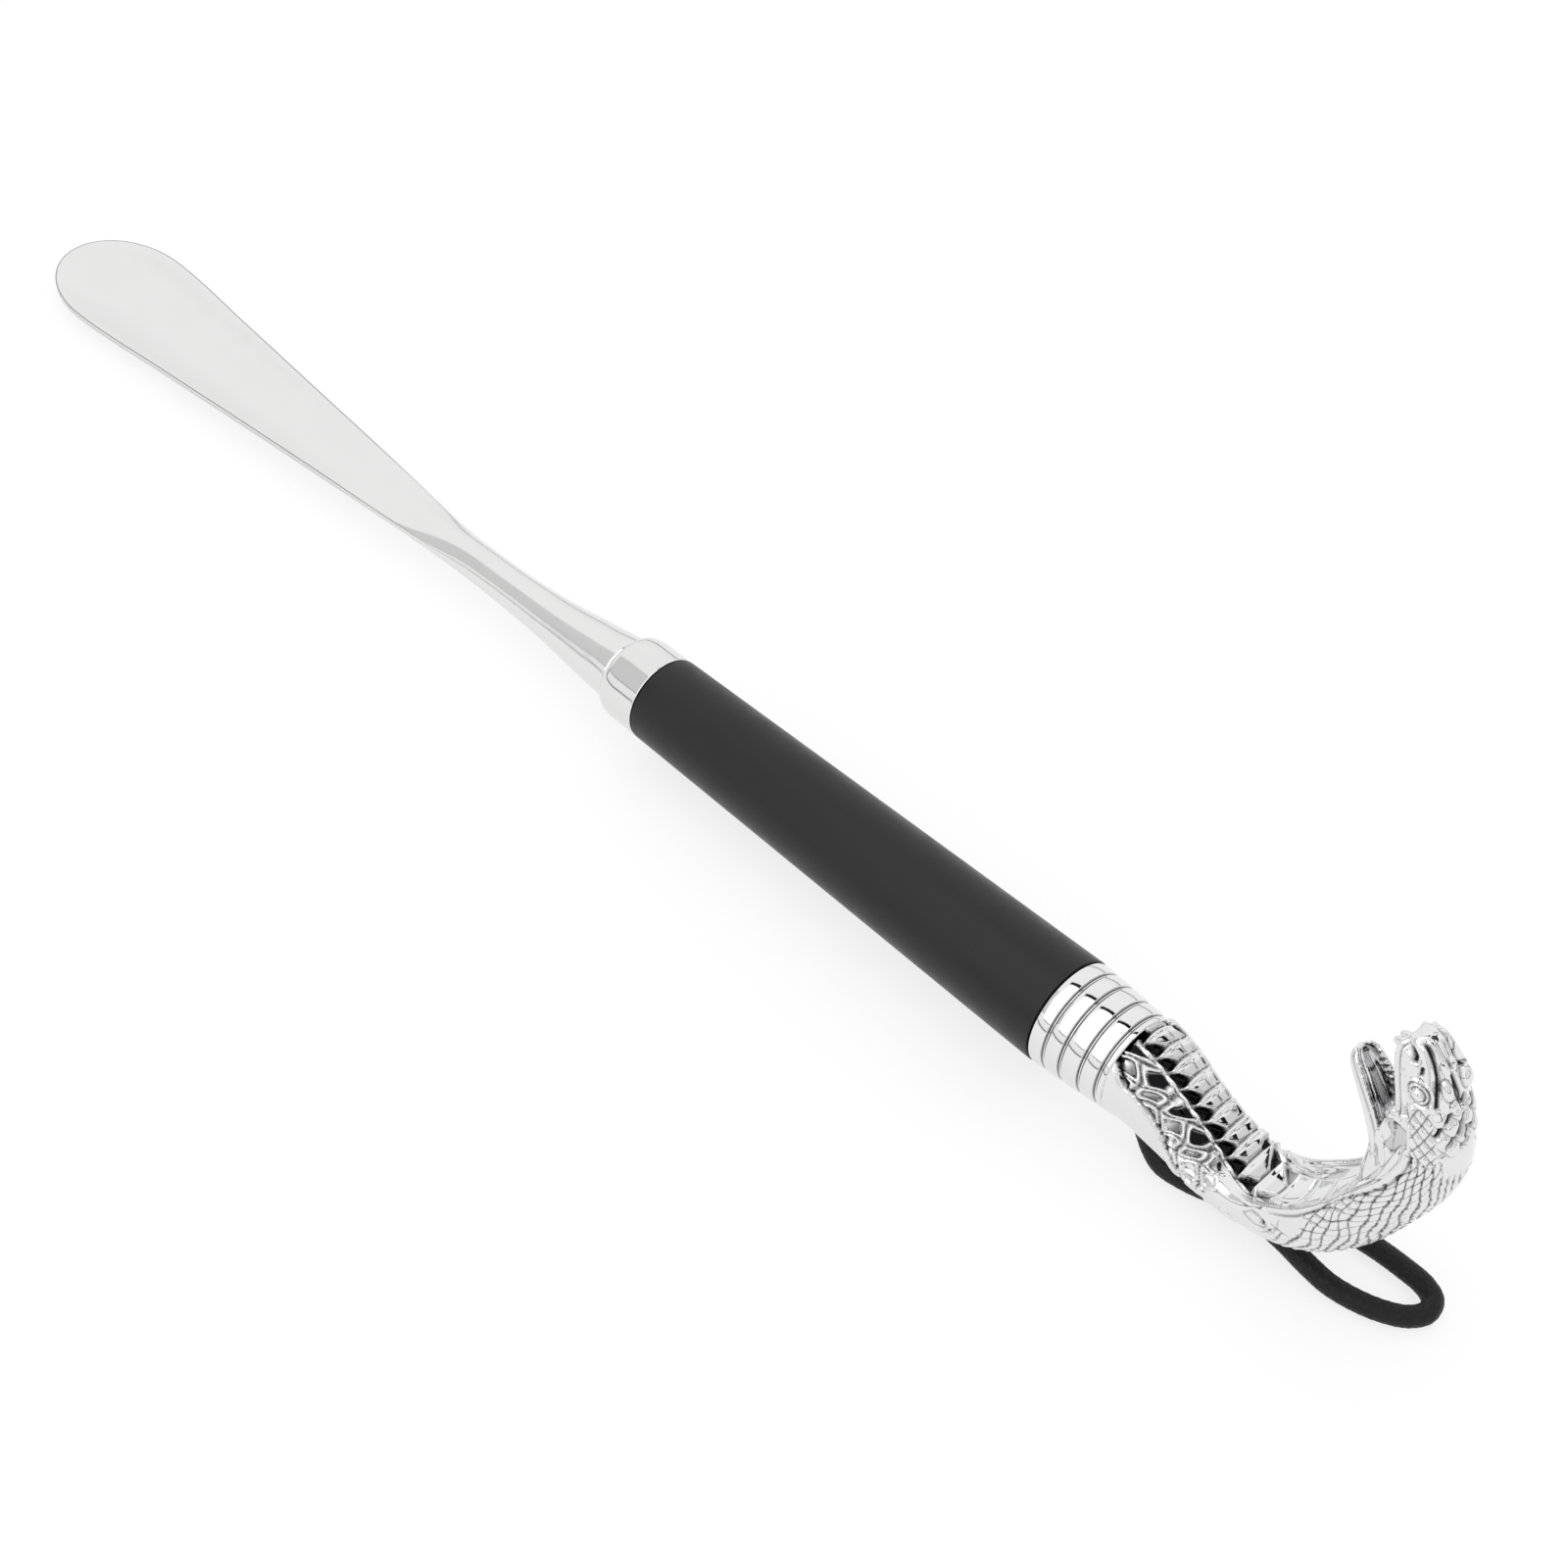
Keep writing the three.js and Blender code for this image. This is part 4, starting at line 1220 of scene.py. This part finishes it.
# Painted shade in hollows: how far below its surroundings a hollow starts to darken and is darkest, and
# how dark the painted shade gets.
HOLLOW_FROM, HOLLOW_TO = 0.05, 0.32
HOLLOW_SHADE, JAW_HOLLOW_SHADE = 0.95, 0.1


def make_cobra():
    lofts = [Loft(table, rings) for table, rings in zip((BODY, UPPER_HEAD, LOWER_JAW), LOFT_RINGS)]
    parts = [(loft.points.reshape(-1, 3), loft.faces()) for loft in lofts]
    extras = [*head_extras(), egg(CORD_BOSS_AT, CORD_BOSS_RADII)]
    points, edges, faces = fused([*parts, *extras])
    points = relaxed(points, edges, 6)
    places = nearest_places(points, lofts, extras)
    height, painted_shade = relief(*places)
    points = relaxed(points + outward(points, faces) * height[:, None], edges, 1)
    # Painted shade: the deeper a point lies below its surroundings, the darker it is painted.
    hollow = sunk(points, edges, outward(points, faces))
    shade = np.where(places[0] == 2, JAW_HOLLOW_SHADE, HOLLOW_SHADE)
    painted_shade = np.clip(np.maximum(painted_shade, shade * rise(hollow, HOLLOW_FROM, HOLLOW_TO)), 0, 1)
    add_piece("cobra_casting", points, faces, "chrome", "cobra_head", painted_shade=painted_shade)


make_cobra()

for node in ("front_stud", "rear_stud"):
    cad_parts[node].material_slots[0].material = FINISHES["stud_steel"]

# ---- floor and light


FLOOR_SIZE = 12
FLOOR_DROP = 0.00002
FLOOR_GLOW = 0.77


def make_floor():
    bpy.ops.mesh.primitive_plane_add(size=FLOOR_SIZE, location=(0, 0, -FLOOR_DROP))
    floor = bpy.context.object
    floor.name = "floor"
    nodes = Finish("pale_floor", Roughness=0.9, Specular_IOR_Level=0.1, Emission_Strength=FLOOR_GLOW)
    nodes.colour(nodes.noise(3, 2), (0.195, 0.195, 0.195), (0.205, 0.205, 0.205))
    floor.data.materials.append(nodes.material)


def put(thing, centre, aim, front):
    """Places a card or a light, with its front side towards another place."""
    place, target = (Vector(to_row([point])[0]) for point in (centre, aim))
    thing.location = place
    thing.rotation_euler = (target - place).to_track_quat(front, "Y").to_euler()


def glowing(name, brightness):
    material = bpy.data.materials.new(name)
    nodes = Nodes(material)
    nodes.tree.nodes.clear()
    glow = nodes.add("ShaderNodeEmission", {"Color": (brightness, brightness, brightness, 1)})
    nodes.add("ShaderNodeOutputMaterial", {0: glow.outputs[0]})
    return material


def make_card(name, centre, size, brightness, aim):
    """A flat card that only shows in reflections."""
    bpy.ops.mesh.primitive_plane_add(size=1)
    card = bpy.context.object
    card.name = name
    card.scale = (size[0] * MM, size[1] * MM, 1)
    put(card, centre, aim, "Z")
    card.data.materials.append(glowing(name, brightness))
    for rays in ("camera", "diffuse", "shadow", "transmission"):
        setattr(card, f"visible_{rays}", False)


def make_light(name, centre, size, power, aim):
    data = bpy.data.lights.new(name, "AREA")
    data.shape = "RECTANGLE"
    data.size, data.size_y = size[0] * MM, size[1] * MM
    data.energy = power
    light = new_object(name, data)
    put(light, centre, aim, "-Z")
    light.visible_glossy = False


# Brightness of the studio around the object, from the horizon to straight above.
SKY = [(0.0, 0.2), (0.03, 0.2), (0.07, 1.0), (0.5, 1.07), (1.0, 1.05)]


def make_world():
    world = bpy.data.worlds.new("studio")
    bpy.context.scene.world = world
    nodes = Nodes(world)
    place = nodes.add("ShaderNodeTexCoord").outputs["Generated"]
    height = nodes.add("ShaderNodeSeparateXYZ", {0: place}).outputs["Z"]
    ramp = nodes.add("ShaderNodeValToRGB", {0: height})
    nodes.tree.links.new(ramp.outputs[0], nodes.tree.nodes["Background"].inputs["Color"])
    stops = ramp.color_ramp.elements
    while len(stops) < len(SKY):
        stops.new(0.5)
    for stop, (position, shade) in zip(stops, SKY):
        stop.position = position
        stop.color = (shade, shade, shade, 1)


# Cards seen in the metal: a long bright window with a dark strip at each end, and a dark side.
# Each has its angle from straight up towards the near side, distance, place along the object,
# size and brightness.
REFLECTED_STRIPS = [
    ("window", 28, 700, -125, (550, 1300), 1.7),
    ("window_glow", 28, 780, -160, (760, 1560), 1.12),
    ("grey_side", 35.5, 800, -1005, (990, 790), 0.74),
    ("window_top", -18, 880, -50, (800, 110), 0.0),
    ("window_foot", 72.5, 930, -125, (550, 22), 0.0),
    ("grey_foot", 62.5, 790, -1005, (990, 20), 0.0),
    ("dark_end", 60, 900, -1600, (300, 800), 0.1),
]

# Dark gaps between the lights round the head end: degrees from +X towards the near side.
HEAD_MIDDLE = (190, 0, 50)
GAP_TURNS = (78, 22, -12, -48, -80)
GAP_DISTANCE = 900
GAP_RISE = math.radians(26)
GAP_SIZE = (95, 760)


def make_cards():
    for name, degrees, distance, x, size, brightness in REFLECTED_STRIPS:
        turn = math.radians(degrees)
        centre = (x, -distance * math.sin(turn), distance * math.cos(turn))
        make_card(name, centre, size, brightness, aim=(x, 0, 0))
    flat, up = GAP_DISTANCE * math.cos(GAP_RISE), GAP_DISTANCE * math.sin(GAP_RISE)
    for number, degrees in enumerate(GAP_TURNS):
        turn = math.radians(degrees)
        centre = (HEAD_MIDDLE[0] + flat * math.cos(turn), -flat * math.sin(turn), HEAD_MIDDLE[2] + up)
        make_card(f"gap_{number}", centre, GAP_SIZE, 0.0, aim=HEAD_MIDDLE)


make_floor()
make_world()
make_light("overhead", (0, 200, 1500), (1800, 1800), 6, aim=(0, 0, 0))
make_cards()
bpy.context.scene.view_settings.view_transform = "Standard"
